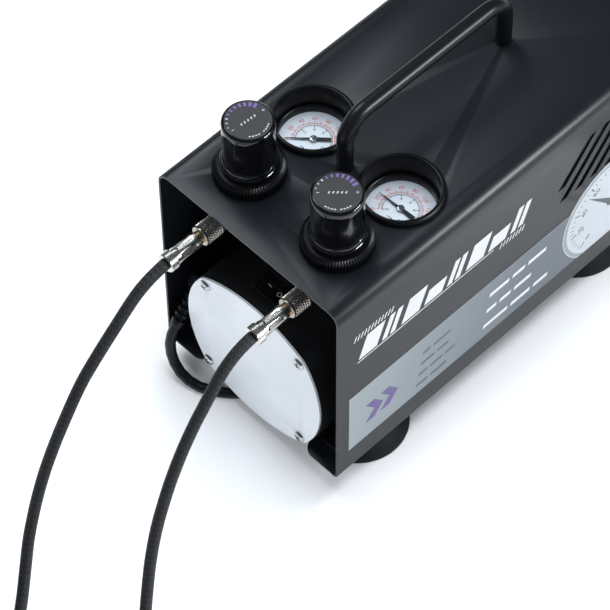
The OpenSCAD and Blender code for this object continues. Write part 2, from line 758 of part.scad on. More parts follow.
module end_gasket() color([0.05, 0.05, 0.05]) difference() {
    bulged_block(cap_half, cap_bulge, plate_d + plate_t, gasket_t);
    bulged_block(cap_half - 3.4, cap_bulge - 3.4, plate_d + plate_t - cut, gasket_t + 2 * cut);
    for (sx = [-1, 1]) for (sz = [-1, 1]) rod_y(bolt_r, at_d(plate_d), 5, x = sx * screw_half,
        z = axis_z + sz * screw_half);
}

module end_plate() color([0.9, 0.92, 0.95]) difference() {
    bulged_block(plate_half, plate_bulge, plate_d, plate_t);
    for (sx = [-1, 1]) for (sz = [-1, 1]) rod_y(bolt_r, at_d(plate_d) - cut, plate_t + 2 * cut,
        x = sx * screw_half, z = axis_z + sz * screw_half);
}

// Four dome-head screws, with the cross recess in each head
module end_screws() color([0.8, 0.8, 0.82]) for (sx = [-1, 1]) for (sz = [-1, 1])
    translate([sx * screw_half, at_d(plate_d), axis_z + sz * screw_half]) rotate([90, 0, 0])
        difference() {
            union() {
                intersection() {
                    cylinder(r = 3.6, h = 2.1);
                    translate([0, 0, -2.2]) sphere(r = 4.3);
                }
                translate([0, 0, -plate_t - gasket_t]) cylinder(r = bolt_r, h = plate_t + gasket_t);
            }
            for (a = [0, 90]) rotate(a) translate([-1.8, -0.35, 1]) cube([3.6, 0.7, 2]);
        }

module switch_frame() color([0.08, 0.08, 0.09]) {
    y = at_d(switch_d);
    difference() {
        union() {
            translate([-switch_l / 2, y - switch_w / 2, switch_z]) cube([switch_l, switch_w, 2]);
            translate([-switch_l / 2 + 1.2, y - switch_w / 2 + 1.2, switch_z - 15])
                cube([switch_l - 2.4, switch_w - 2.4, 15]);
        }
        translate([-rocker_half - 0.7, y - switch_w / 2 + 2.2, switch_z - 8.5])
            cube([2 * rocker_half + 1.4, switch_w - 4.4, 16]);
        rod_y(1.2 + run_gap, y - switch_w / 2 + 1.5, switch_w - 3, z = rocker_z);
    }
}

// Rocker pressed down on its +X side, with its two pivot pins
module switch_rocker() color([0.06, 0.06, 0.07]) {
    w = switch_w - 4.4 - 2 * air_gap;
    translate([0, at_d(switch_d), rocker_z]) rotate([0, rocker_tilt, 0]) {
        difference() {
            translate([0, w / 2, 0]) rotate([90, 0, 0]) linear_extrude(w) polygon([
                [-rocker_half, -0.4], [-rocker_half, 4.6], [0, 3.2], [rocker_half, 4.6],
                [rocker_half, -0.4], [2.6, -3], [-2.6, -3]]);
        }
        rod_y(1.2, -switch_w / 2 + 1.7, switch_w - 3.4);
    }
}

module motor_shell() color([0.14, 0.14, 0.15]) difference() {
    union() {
        rod_y(motor_r, at_d(cap_end_d), motor_l, z = axis_z);
        for (s = [-1, 1]) for (d = [cap_end_d + 12, motor_end_d - 24])
            translate([s * 30 - 8, at_d(d), tray_top]) cube([16, 12, 22]);
    }
    rod_y(motor_r - cap_wall, at_d(cap_end_d) - cut, motor_l - 4 + cut, z = axis_z);
    rod_y(bearing_r, at_d(motor_end_d - 4) - cut, 4 + 2 * cut, z = axis_z);
}

module stator() color([0.6, 0.42, 0.25]) difference() {
    union() {
        rod_y(motor_r - cap_wall, at_d(core_d), core_l, z = axis_z);
        rod_y(motor_r - cap_wall - 3, at_d(core_d - 7), core_l + 14, z = axis_z);
    }
    rod_y(rotor_r + stator_gap, at_d(core_d - 8), core_l + 16, z = axis_z);
    rod_y(rotor_r + 3, at_d(core_d - 8), 8, z = axis_z);
    rod_y(rotor_r + 3, at_d(core_d + core_l), 8, z = axis_z);
}

module motor_shaft() color([0.75, 0.76, 0.78])
    rod_y(shaft_r, at_d(fan_d - 3), crank_d + crank_t - fan_d + 3, z = axis_z);

module rotor_core() color([0.5, 0.51, 0.53]) difference() {
    rod_y(rotor_r, at_d(core_d), core_l, z = axis_z);
    rod_y(shaft_r, at_d(core_d) - cut, core_l + 2 * cut, z = axis_z);
}

fan_blades = 9;

module cooling_fan() color([0.15, 0.15, 0.16]) difference() {
    translate([0, at_d(fan_d), axis_z]) rotate([-90, 0, 0]) {
        cylinder(r = 9, h = 11);
        for (i = [0 : fan_blades - 1]) rotate(360 * i / fan_blades)
            translate([8, -0.8, 1]) cube([fan_r - 8, 1.6, 9]);
        cylinder(r = fan_r, h = 1.5);
    }
    rod_y(shaft_r, at_d(fan_d) - cut, 13, z = axis_z);
}

module crank_disc() color([0.6, 0.61, 0.63]) difference() {
    union() {
        rod_y(15, at_d(crank_d), crank_t, z = axis_z);
        rod_y(pin_r, at_d(crank_d), rod_d + rod_t + 2 - crank_d, z = axis_z + crank_throw);
    }
    rod_y(shaft_r, at_d(crank_d) - cut, crank_t + cut, z = axis_z);
}

// Two ball bearings, drawn as rings that run on the shaft
module bearings() color([0.7, 0.71, 0.73]) for (d = [cap_end_d + 3 - bearing_l, motor_end_d - 4])
    difference() {
        rod_y(bearing_r, at_d(d), d < motor_end_d - 4 ? bearing_l : 4, z = axis_z);
        rod_y(shaft_r + run_gap, at_d(d) - cut, bearing_l + 2 * cut, z = axis_z);
    }

module crankcase() color([0.55, 0.56, 0.58]) difference() {
    union() {
        rod_y(case_out_r, at_d(motor_end_d), crankcase_l, z = axis_z);
        translate([-deck_half, pump_y - deck_half, axis_z])
            cube([2 * deck_half, 2 * deck_half, block_z - axis_z]);
        translate([-deck_half, at_d(motor_end_d), axis_z])
            cube([2 * deck_half, 10, 24]);
    }
    rod_y(case_out_r - 3, at_d(motor_end_d) - cut, crankcase_l - 3 + cut, z = axis_z);
    translate([-11, pump_y - 11, axis_z]) cube([22, 22, block_z - axis_z + cut]);
}

module piston_rod() color([0.72, 0.73, 0.75]) difference() {
    low = axis_z + crank_throw;
    union() {
        rod_y(6, at_d(rod_d), rod_t, z = low);
        rod_y(4.5, at_d(rod_d), rod_t, z = rod_top_z);
        translate([-3, at_d(rod_d), low]) cube([6, rod_t, rod_l]);
    }
    rod_y(pin_r + run_gap, at_d(rod_d) - cut, rod_t + 2 * cut, z = low);
    rod_y(2.5, at_d(rod_d) - cut, rod_t + 2 * cut, z = rod_top_z);
}

module piston() color([0.78, 0.79, 0.8]) translate([0, pump_y, crown_z - skirt_h]) difference() {
    cylinder(r = bore_r - slide_gap, h = skirt_h);
    translate([0, 0, -cut]) cylinder(r = bore_r - 2.4, h = skirt_h - crown_t + cut);
}

fin_pitch = 6;

module cylinder_sleeve() difference() {
    union() {
        cylinder(r = bore_r + 3, h = cyl_h);
        for (i = [0 : 6]) translate([-deck_half, -deck_half, i * fin_pitch])
            cube([2 * deck_half, 2 * deck_half, 2.4]);
        translate([-deck_half, -deck_half, cyl_h - 3]) cube([2 * deck_half, 2 * deck_half, 3]);
    }
    translate([0, 0, -cut]) cylinder(r = bore_r, h = cyl_h + 2 * cut);
    for (sx = [-1, 1]) for (sy = [-1, 1]) translate([sx * 16, sy * 16, -cut])
        cylinder(r = bolt_r + hole_gap, h = cyl_h + 2 * cut);
}

module cylinder_body() color([0.72, 0.73, 0.75]) translate([0, pump_y, block_z]) cylinder_sleeve();

// Head block with its four long bolts
module cylinder_head() color([0.66, 0.67, 0.69]) translate([0, pump_y, head_z]) {
    difference() {
        translate([-deck_half, -deck_half, 0]) cube([2 * deck_half, 2 * deck_half, head_h]);
        for (i = [-2 : 2]) translate([i * 7.6 - 1.5, -deck_half - cut, head_h - 6])
            cube([3, 2 * (deck_half + cut), 6 + cut]);
        for (sx = [-1, 1]) for (sy = [-1, 1]) translate([sx * 16, sy * 16, -cut])
            cylinder(r = bolt_r, h = head_h + 2 * cut);
        rod_y(delivery_r, deck_half - 5, 6, z = delivery_z - head_z);
    }
    for (sx = [-1, 1]) for (sy = [-1, 1]) translate([sx * 16, sy * 16, -cyl_h]) {
        cylinder(r = bolt_r, h = cyl_h + head_h);
        translate([0, 0, cyl_h + head_h]) cylinder(r = 3.4, h = 2.6);
    }
}

// ---- tank and air lines ------------------------------------------------------------------

// Tank outline, r thick and l long, with shallow domed ends
module tank_body(r, l, dome) rotate([0, 90, 0]) rotate_extrude() intersection() {
    translate([0, -l / 2]) square([r, l]);
    translate([0, l / 2 - dome]) circle(r = dome);
    translate([0, dome - l / 2]) circle(r = dome);
}

module air_tank() color([0.13, 0.13, 0.14]) translate([0, tank_y, tank_z]) difference() {
    union() {
        tank_body(tank_r, tank_l, dome_r);
        for (s = [-1, 1]) translate([s * 24 - 5, -26, -tank_r - 3]) cube([10, 52, 14]);
        translate([0, 0, tank_r - 3]) cylinder(r = 7, h = 5);
        translate([0, manifold_d - tank_d, 0]) cylinder(r = 7, h = manifold_z - tank_z);
        translate([drain_x, 0, -tank_r - drain_boss_h + 2]) cylinder(r = 5.5, h = drain_boss_h);
    }
    tank_body(tank_r - tank_wall, tank_l - 2 * tank_wall, dome_r - tank_wall);
    translate([drain_x, 0, -tank_r - drain_boss_h]) cylinder(r = 3, h = drain_boss_h + 4);
}

// Quarter bend of a pipe in the plane of Y and Z, from the -Y direction to the given turn
module pipe_elbow(r, bend) rotate([90, 0, 90]) rotate_extrude(angle = 90)
    translate([bend, 0]) circle(r = r);

// Delivery pipe from the head to the tank, manifold block, and one pipe to each regulator
module air_pipes() color([0.78, 0.62, 0.36]) {
    tank_port_z = tank_z + tank_r + 2;
    head_back = pump_y + deck_half;
    bend = 10;
    union() {
        rod_y(delivery_r, head_back, tank_y - bend - head_back, z = delivery_z);
        translate([0, tank_y - bend, delivery_z - bend]) pipe_elbow(delivery_r, bend);
        translate([0, tank_y, tank_port_z]) cylinder(r = delivery_r, h = delivery_z - bend - tank_port_z);
    }
    difference() {
        translate([-reg_x - 6, at_d(manifold_d) - manifold_w / 2, manifold_z])
            cube([2 * reg_x + 12, manifold_w, manifold_h]);
        rod_y(3.2, at_d(manifold_d), manifold_w, x = valve_x, z = manifold_z + 6);
    }
    both_sides(reg_x) union() {
        elbow_y = reg_y + pipe_bend;
        rod_y(pipe_r, elbow_y, at_d(manifold_d) - manifold_w / 2 - elbow_y, z = pipe_z);
        translate([0, elbow_y, pipe_z + pipe_bend]) rotate([0, 180, 0]) mirror([0, 1, 0])
            mirror([1, 0, 0]) pipe_elbow(pipe_r, pipe_bend);
    }
}

module pressure_switch() color([0.1, 0.1, 0.11]) {
    z = manifold_z + manifold_h;
    translate([-18, at_d(manifold_d) - 10, z + 4]) cube([36, 26, 22]);
    translate([-6, at_d(manifold_d), z]) cylinder(r = 5, h = 4);
}

module safety_valve() color([0.8, 0.64, 0.3]) {
    y = at_d(manifold_d) + manifold_w / 2;
    z = manifold_z + 6;
    difference() {
        union() {
            rod_y(3.2, y - 6, 6, x = valve_x, z = z);
            rod_y(6, y, 9, x = valve_x, z = z, fn = 6);
            rod_y(4.6, y + 9, 6, x = valve_x, z = z);
        }
        rod_y(1.5 + slide_gap, y + 3, 14, x = valve_x, z = z);
    }
}

pin_pull = 3;

module safety_pin() color([0.75, 0.76, 0.78]) {
    y = at_d(manifold_d) + manifold_w / 2;
    z = manifold_z + 6;
    rod_y(1.5, y + 4, 13.5, x = valve_x, z = z);
    translate([valve_x, y + 21.5, z]) rotate([0, 90, 0]) rotate_extrude()
        translate([4.6, 0]) circle(r = 0.9, $fn = 24);
}

module drain_valve() color([0.8, 0.64, 0.3]) translate([drain_x, tank_y, 0]) {
    z = tank_z - tank_r - drain_boss_h + 2;
    translate([0, 0, z]) cylinder(r = 3 - run_gap, h = drain_boss_h - 1);
    translate([0, 0, z - 6 - air_gap]) cylinder(r = 5, h = 6);
    translate([0, 0, z - 1]) cylinder(r = 2.4, h = 2);
}

// ---- mains lead --------------------------------------------------------------------------

module strain_relief() color([0.06, 0.06, 0.06])
    at_gland() translate([0, 0, -relief_l]) difference() {
        cylinder(r1 = lead_dia / 2 + 0.8, r2 = lead_dia / 2 + 2.2, h = relief_l);
        for (i = [0 : 4]) translate([0, 0, 3 + i * 4.6]) difference() {
            cylinder(r = 8, h = 1.6);
            translate([0, 0, -cut]) cylinder(r = lead_dia / 2 + 0.5, h = 1.6 + 2 * cut);
        }
    }

lead_low = 8;
lead_tail = tail_route(lead_coil, lead_coil_r, lead_dia, lead_tail_at, lead_low, 3 * lead_dia);
plug_l = 34;
plug_w = 24;
plug_h = 2 * lead_low;

module mains_lead() color([0.06, 0.06, 0.06]) {
    tube(lead_run, lead_dia);
    tube(lead_tail, lead_dia);
}

module mains_coil() color([0.06, 0.06, 0.06]) coil(lead_coil, lead_coil_r, lead_dia);

// Two-pin plug lying on the floor
module mains_plug() color([0.06, 0.06, 0.06]) at_end(lead_tail) {
    translate([-plug_w / 2, 8, -plug_h / 2]) cube([plug_w, plug_l - 8, plug_h]);
    rod_y(5, 0, 8);
    for (s = [-1, 1]) color([0.8, 0.7, 0.4])
        translate([s * 6.35 - 0.75, plug_l, -3.15]) cube([1.5, 17, 6.3]);
}

cover_shell();
base_plate();
rubber_feet();
foot_screws();
cover_screws();
handle_tube();
handle_nuts();
side_label();
regulator_bodies();
panel_rings();
spindle_left();
spindle_right();
knob_left();
knob_right();
knob_cap_left();
knob_cap_right();
gauge_trims();
gauge_cases();
gauge_dials();
gauge_lenses();
needle_left();
needle_right();
outlet_nipples();
hose_nut_left();
hose_nut_right();
hose_barrels();
air_hose_left();
air_hose_right();
hose_coil_left();
hose_coil_right();
hose_end_nut_left();
hose_end_nut_right();
end_housing();
end_gasket();
end_plate();
end_screws();
switch_frame();
switch_rocker();
motor_shell();
stator();
motor_shaft();
rotor_core();
cooling_fan();
crank_disc();
bearings();
crankcase();
piston_rod();
piston();
cylinder_body();  // cylinder
cylinder_head();
air_tank();
air_pipes();
pressure_switch();
safety_valve();
safety_pin();
drain_valve();
strain_relief();
mains_lead();
mains_coil();
mains_plug();
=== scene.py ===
"""Looks of an airbrush compressor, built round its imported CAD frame."""

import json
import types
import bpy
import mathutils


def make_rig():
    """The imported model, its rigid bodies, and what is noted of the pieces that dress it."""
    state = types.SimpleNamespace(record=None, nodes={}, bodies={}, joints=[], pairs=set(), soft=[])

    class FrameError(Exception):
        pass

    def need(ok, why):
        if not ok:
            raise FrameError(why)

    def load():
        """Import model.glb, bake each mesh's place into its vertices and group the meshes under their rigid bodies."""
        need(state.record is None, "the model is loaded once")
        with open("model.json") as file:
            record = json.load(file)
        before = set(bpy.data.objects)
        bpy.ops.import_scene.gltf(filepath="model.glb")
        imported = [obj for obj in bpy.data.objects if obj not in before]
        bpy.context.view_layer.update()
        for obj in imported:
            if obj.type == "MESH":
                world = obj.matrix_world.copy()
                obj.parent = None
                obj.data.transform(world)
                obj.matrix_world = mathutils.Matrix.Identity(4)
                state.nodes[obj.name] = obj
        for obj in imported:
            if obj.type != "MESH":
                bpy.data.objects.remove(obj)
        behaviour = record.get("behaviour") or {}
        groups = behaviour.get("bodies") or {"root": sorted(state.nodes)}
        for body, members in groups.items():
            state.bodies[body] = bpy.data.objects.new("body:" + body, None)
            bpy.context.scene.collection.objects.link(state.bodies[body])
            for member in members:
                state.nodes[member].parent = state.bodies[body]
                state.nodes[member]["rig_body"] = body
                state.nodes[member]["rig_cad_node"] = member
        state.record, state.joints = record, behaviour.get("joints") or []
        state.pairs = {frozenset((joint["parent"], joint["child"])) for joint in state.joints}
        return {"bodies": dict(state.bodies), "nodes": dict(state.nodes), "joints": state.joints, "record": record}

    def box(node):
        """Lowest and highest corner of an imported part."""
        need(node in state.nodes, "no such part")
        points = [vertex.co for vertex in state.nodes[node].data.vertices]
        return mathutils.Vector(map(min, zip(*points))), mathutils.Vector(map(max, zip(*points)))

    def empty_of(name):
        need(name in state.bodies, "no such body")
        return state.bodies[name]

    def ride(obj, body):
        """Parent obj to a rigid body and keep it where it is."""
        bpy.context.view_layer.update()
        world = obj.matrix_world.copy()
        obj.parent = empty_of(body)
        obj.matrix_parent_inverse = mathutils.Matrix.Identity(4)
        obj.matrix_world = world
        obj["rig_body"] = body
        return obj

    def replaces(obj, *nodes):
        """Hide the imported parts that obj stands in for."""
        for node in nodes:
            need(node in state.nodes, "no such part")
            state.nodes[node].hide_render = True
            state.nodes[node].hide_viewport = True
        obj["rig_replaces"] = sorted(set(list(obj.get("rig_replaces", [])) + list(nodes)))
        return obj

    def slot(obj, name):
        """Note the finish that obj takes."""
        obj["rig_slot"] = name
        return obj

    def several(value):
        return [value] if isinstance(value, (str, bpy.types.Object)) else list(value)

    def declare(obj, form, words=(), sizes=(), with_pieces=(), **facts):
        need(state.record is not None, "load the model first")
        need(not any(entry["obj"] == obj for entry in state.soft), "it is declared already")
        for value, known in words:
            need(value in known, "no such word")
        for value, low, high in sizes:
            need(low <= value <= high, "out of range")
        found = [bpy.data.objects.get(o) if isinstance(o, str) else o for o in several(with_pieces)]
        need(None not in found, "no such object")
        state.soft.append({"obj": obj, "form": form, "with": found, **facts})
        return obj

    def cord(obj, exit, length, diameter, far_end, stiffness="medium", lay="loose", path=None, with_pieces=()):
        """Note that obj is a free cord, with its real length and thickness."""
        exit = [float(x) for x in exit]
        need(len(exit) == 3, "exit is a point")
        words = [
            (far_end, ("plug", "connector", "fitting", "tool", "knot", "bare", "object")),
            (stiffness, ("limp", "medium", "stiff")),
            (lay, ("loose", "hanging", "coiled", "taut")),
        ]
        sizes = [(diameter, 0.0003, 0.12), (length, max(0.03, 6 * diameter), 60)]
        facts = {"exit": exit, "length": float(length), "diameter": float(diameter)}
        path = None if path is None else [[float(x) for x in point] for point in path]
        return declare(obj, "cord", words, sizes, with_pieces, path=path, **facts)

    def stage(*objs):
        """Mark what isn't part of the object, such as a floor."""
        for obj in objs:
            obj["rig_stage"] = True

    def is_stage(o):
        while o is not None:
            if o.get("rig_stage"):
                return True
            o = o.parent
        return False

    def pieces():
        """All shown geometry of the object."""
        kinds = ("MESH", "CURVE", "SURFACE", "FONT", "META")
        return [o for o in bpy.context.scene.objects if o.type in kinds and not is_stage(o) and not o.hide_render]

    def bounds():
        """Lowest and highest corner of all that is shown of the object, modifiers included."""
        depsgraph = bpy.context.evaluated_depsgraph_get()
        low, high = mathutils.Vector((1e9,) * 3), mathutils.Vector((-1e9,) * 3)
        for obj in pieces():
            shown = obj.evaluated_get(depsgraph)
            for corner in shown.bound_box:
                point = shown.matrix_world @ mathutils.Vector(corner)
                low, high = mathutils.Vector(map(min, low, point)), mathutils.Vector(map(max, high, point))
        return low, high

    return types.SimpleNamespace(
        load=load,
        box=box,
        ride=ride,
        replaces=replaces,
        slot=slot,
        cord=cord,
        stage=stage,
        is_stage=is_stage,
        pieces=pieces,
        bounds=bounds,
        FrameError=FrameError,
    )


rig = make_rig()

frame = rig.load()

import json
import logging
import math
from dataclasses import dataclass, field
from enum import Enum
from typing import Callable, Iterable, Sequence

import bmesh
import bpy
from mathutils import Matrix, Vector

CAD_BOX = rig.bounds()
LOG = logging.getLogger("compressor")
MM = 0.001
Point = tuple[float, float, float]
Colour = tuple[float, float, float]


class Side(Enum):
    """The two outlets of the machine."""

    LEFT = "left"
    RIGHT = "right"

    @property
    def sign(self) -> int:
        """Sign of the side's x."""
        return -1 if self is Side.LEFT else 1


# ---- shader kit ----------------------------------------------------------------------------


class Wire:
    """A shader value that can be used in arithmetic."""

    def __init__(self, kit: "Shader", socket: bpy.types.NodeSocket) -> None:
        """Keeps the node tree's kit and the output socket.

        Args:
            kit: The material's shader kit.
            socket: The output that the value comes from.
        """
        self.kit = kit
        self.socket = socket

    def _math(self, op: str, *values: "Wire | float") -> "Wire":
        """Adds one Math node.

        Args:
            op: The node's operation.
            values: Its inputs in order.

        Returns:
            The node's output.
        """
        return self.kit.node("ShaderNodeMath", {"operation": op}, dict(enumerate(values)))

    def __add__(self, other: "Wire | float") -> "Wire":
        """Sum."""
        return self._math("ADD", self, other)

    __radd__ = __add__

    def __mul__(self, other: "Wire | float") -> "Wire":
        """Product."""
        return self._math("MULTIPLY", self, other)

    __rmul__ = __mul__

    def __sub__(self, other: "Wire | float") -> "Wire":
        """Difference."""
        return self._math("SUBTRACT", self, other)

    def __rsub__(self, other: float) -> "Wire":
        """Difference from a number."""
        return self._math("SUBTRACT", other, self)

    def __truediv__(self, other: "Wire | float") -> "Wire":
        """Quotient."""
        return self._math("DIVIDE", self, other)

    def __gt__(self, other: "Wire | float") -> "Wire":
        """1 where the value is greater."""
        return self._math("GREATER_THAN", self, other)

    def sin(self) -> "Wire":
        """Sine of the value in radians."""
        return self._math("SINE", self)

    def clamp(self) -> "Wire":
        """The value kept between 0 and 1."""
        return self.kit.node("ShaderNodeClamp", {}, {"Value": self})


class Shader:
    """Builds one procedural material."""

    def __init__(self, name: str) -> None:
        """Starts an empty node tree.

        Args:
            name: The material's name.
        """
        self.material = bpy.data.materials.new(name)
        self.material.use_nodes = True
        self.tree = self.material.node_tree
        self.tree.nodes.clear()
        self.out = self.tree.nodes.new("ShaderNodeOutputMaterial")

    def node(self, kind: str, settings: dict, inputs: dict, output: int | str = 0) -> Wire:
        """Adds any node.

        Args:
            kind: The node's type name.
            settings: Its properties, set first.
            inputs: Socket name or index to a value or a Wire.
            output: The output that is returned.

        Returns:
            A wire from the chosen output.
        """
        made = self.tree.nodes.new(kind)
        for key, value in settings.items():
            setattr(made, key, value)
        for key, value in inputs.items():
            socket = made.inputs[key]
            if isinstance(value, Wire):
                self.tree.links.new(value.socket, socket)
            elif isinstance(value, tuple) and len(value) == 3 and socket.type == "RGBA":
                socket.default_value = (*value, 1.0)
            else:
                socket.default_value = value
        return Wire(self, made.outputs[output])

    def place(self) -> Wire:
        """Object coordinates, in metres."""
        return self.node("ShaderNodeTexCoord", {}, {}, "Object")

    def along(self) -> tuple[Wire, Wire]:
        """The piece's own UV map: turns round a cord, and metres along it."""
        uv = self.node("ShaderNodeTexCoord", {}, {}, "UV")
        split = self.node("ShaderNodeSeparateXYZ", {}, {0: uv}, "X")
        return split, Wire(self, split.socket.node.outputs["Y"])

    def axes(self) -> tuple[Wire, Wire, Wire]:
        """Object coordinates as three values."""
        split = self.node("ShaderNodeSeparateXYZ", {}, {0: self.place()}, "X")
        outs = split.socket.node.outputs
        return split, Wire(self, outs["Y"]), Wire(self, outs["Z"])

    def noise(self, scale: float, detail: float = 3.0, stretch: Point = (1, 1, 1)) -> Wire:
        """Noise on Object coordinates.

        Args:
            scale: Cells to the metre.
            detail: Octaves.
            stretch: Scale of each axis.

        Returns:
            A value about 0.5.
        """
        place = self.node("ShaderNodeMapping", {}, {"Vector": self.place(), "Scale": stretch})
        return self.node("ShaderNodeTexNoise", {}, {"Vector": place, "Scale": scale, "Detail": detail})

    def blend(self, factor: Wire, low: "Colour | Wire", high: "Colour | Wire") -> Wire:
        """Mixes two colours.

        Args:
            factor: 0 gives low, 1 gives high.
            low: First colour.
            high: Second colour.

        Returns:
            The mixed colour.
        """
        made = self.tree.nodes.new("ShaderNodeMix")
        made.data_type = "RGBA"
        self.tree.links.new(factor.socket, made.inputs[0])
        for index, value in ((6, low), (7, high)):
            if isinstance(value, Wire):
                self.tree.links.new(value.socket, made.inputs[index])
            else:
                made.inputs[index].default_value = (*value, 1.0)
        return Wire(self, made.outputs[2])

    def bump(self, height: Wire, depth: float) -> Wire:
        """A normal from a height.

        Args:
            height: 0 to 1.
            depth: The height's size in metres.

        Returns:
            The normal.
        """
        return self.node("ShaderNodeBump", {}, {"Height": height, "Distance": depth, "Strength": 1.0})

    def finish(self, **values: "Wire | float | Colour") -> bpy.types.Material:
        """Ends the material in a Principled shader.

        Args:
            values: Socket names with underscores to values or wires.

        Returns:
            The material.
        """
        inputs = {key.replace("_", " "): value for key, value in values.items()}
        surface = self.node("ShaderNodeBsdfPrincipled", {}, inputs)
        self.tree.links.new(surface.socket, self.out.inputs["Surface"])
        return self.material


def srgb(red: int, green: int, blue: int) -> Colour:
    """A display colour as linear light.

    Args:
        red: 0 to 255.
        green: 0 to 255.
        blue: 0 to 255.

    Returns:
        The linear colour.
    """

    def line(v: int) -> float:
        c = v / 255
        return c / 12.92 if c <= 0.04045 else ((c + 0.055) / 1.055) ** 2.4

    return line(red), line(green), line(blue)


@dataclass(frozen=True)
class Coat:
    """Paint or moulded plastic with a fine skin and faint wear."""

    name: str
    colour: Colour
    rough: float
    grain: float = 2500.0
    depth: float = 0.00004
    drift: float = 0.06
    specular: float = 0.5

    def build(self) -> bpy.types.Material:
        """Makes the material."""
        kit = Shader(self.name)
        skin = kit.noise(self.grain, 2.0)
        cloud = kit.noise(26.0, 4.0)
        darker = tuple(c * 0.86 for c in self.colour)
        lighter = tuple(min(1.0, c * 1.1) for c in self.colour)
        return kit.finish(
            Base_Color=kit.blend(cloud, darker, lighter),
            Roughness=(self.rough - self.drift) + (cloud * 1.4 + skin * 0.6) * self.drift,
            Normal=kit.bump(skin, self.depth),
            Specular_IOR_Level=self.specular,
        )


@dataclass(frozen=True)
class Metal:
    """Bare or plated metal with faint turning marks and handling haze."""

    name: str
    colour: Colour
    rough: float
    grain: Point = (1, 1, 1)
    scale: float = 900.0
    depth: float = 0.00002

    def build(self) -> bpy.types.Material:
        """Makes the material."""
        kit = Shader(self.name)
        marks = kit.noise(self.scale, 3.0, self.grain)
        haze = kit.noise(120.0, 3.0)
        low = tuple(c * 0.92 for c in self.colour)
        return kit.finish(
            Base_Color=kit.blend(haze, low, self.colour),
            Metallic=1.0,
            Roughness=(haze * 0.05 + marks * 0.04) + (self.rough - 0.04),
            Normal=kit.bump(marks, self.depth),
        )


@dataclass(frozen=True)
class Braid:
    """Woven sleeve of a hose: two sets of crossing strands, whose crests carry a painted glint."""

    name: str
    colour: Colour
    painted_glint: Colour
    strands: int = 12
    lay: float = 300.0

    def build(self) -> bpy.types.Material:
        """Makes the material."""
        kit = Shader(self.name)
        around, length = kit.along()
        turn = around * (2 * math.pi * self.strands)
        run = length * (2 * math.pi * self.lay)
        first = (turn + run).sin()
        second = (turn - run).sin()
        over = ((turn * 0.5 + run * 0.5).sin() * (turn * 0.5 - run * 0.5).sin()) > 0.0
        weave = first * over + second * (1.0 - over)
        height = weave * 0.5 + 0.5
        fibre = kit.noise(3800.0, 2.0)
        return kit.finish(
            # the crests of the strands blend towards a lighter colour: a painted glint, broken up by fibre noise
            Base_Color=kit.blend((height * height * fibre).clamp(), self.colour, self.painted_glint),
            Roughness=0.5 + (1.0 - height) * 0.2,
            Normal=kit.bump(height + fibre * 0.25, 0.00022),
        )


@dataclass(frozen=True)
class Sticker:
    """Satin film whose tone changes along the machine."""

    name: str
    front: Colour
    back: Colour
    y_front: float
    y_back: float

    def build(self) -> bpy.types.Material:
        """Makes the material."""
        kit = Shader(self.name)
        _, y, _ = kit.axes()
        share = ((y - self.y_front) / (self.y_back - self.y_front)).clamp()
        cloud = kit.noise(30.0, 3.0)
        fine = kit.noise(3000.0, 2.0)
        tone = kit.blend(share, self.front, self.back)
        worn_front, worn_back = (tuple(c * 0.93 for c in colour) for colour in (self.front, self.back))
        worn = kit.blend(share, worn_front, worn_back)
        return kit.finish(
            Base_Color=kit.blend(cloud, worn, tone),
            Roughness=0.3 + cloud * 0.1,
            Normal=kit.bump(fine, 0.00001),
        )


@dataclass(frozen=True)
class ClearCover:
    """Clear disc over a gauge."""

    name: str

    def build(self) -> bpy.types.Material:
        """Makes the material."""
        kit = Shader(self.name)
        clear = kit.node("ShaderNodeBsdfTransparent", {}, {"Color": (0.96, 0.975, 0.985)})
        dust = kit.noise(400.0, 2.0)
        gloss = kit.node(
            "ShaderNodeBsdfPrincipled",
            {},
            {"Base Color": (0.9, 0.93, 0.97), "Roughness": dust * 0.04 + 0.02, "Metallic": 1.0},
        )
        facing = kit.node("ShaderNodeFresnel", {}, {"IOR": 1.4})
        mixed = kit.node("ShaderNodeMixShader", {}, {0: facing, 1: clear, 2: gloss})
        kit.tree.links.new(mixed.socket, kit.out.inputs["Surface"])
        return kit.material


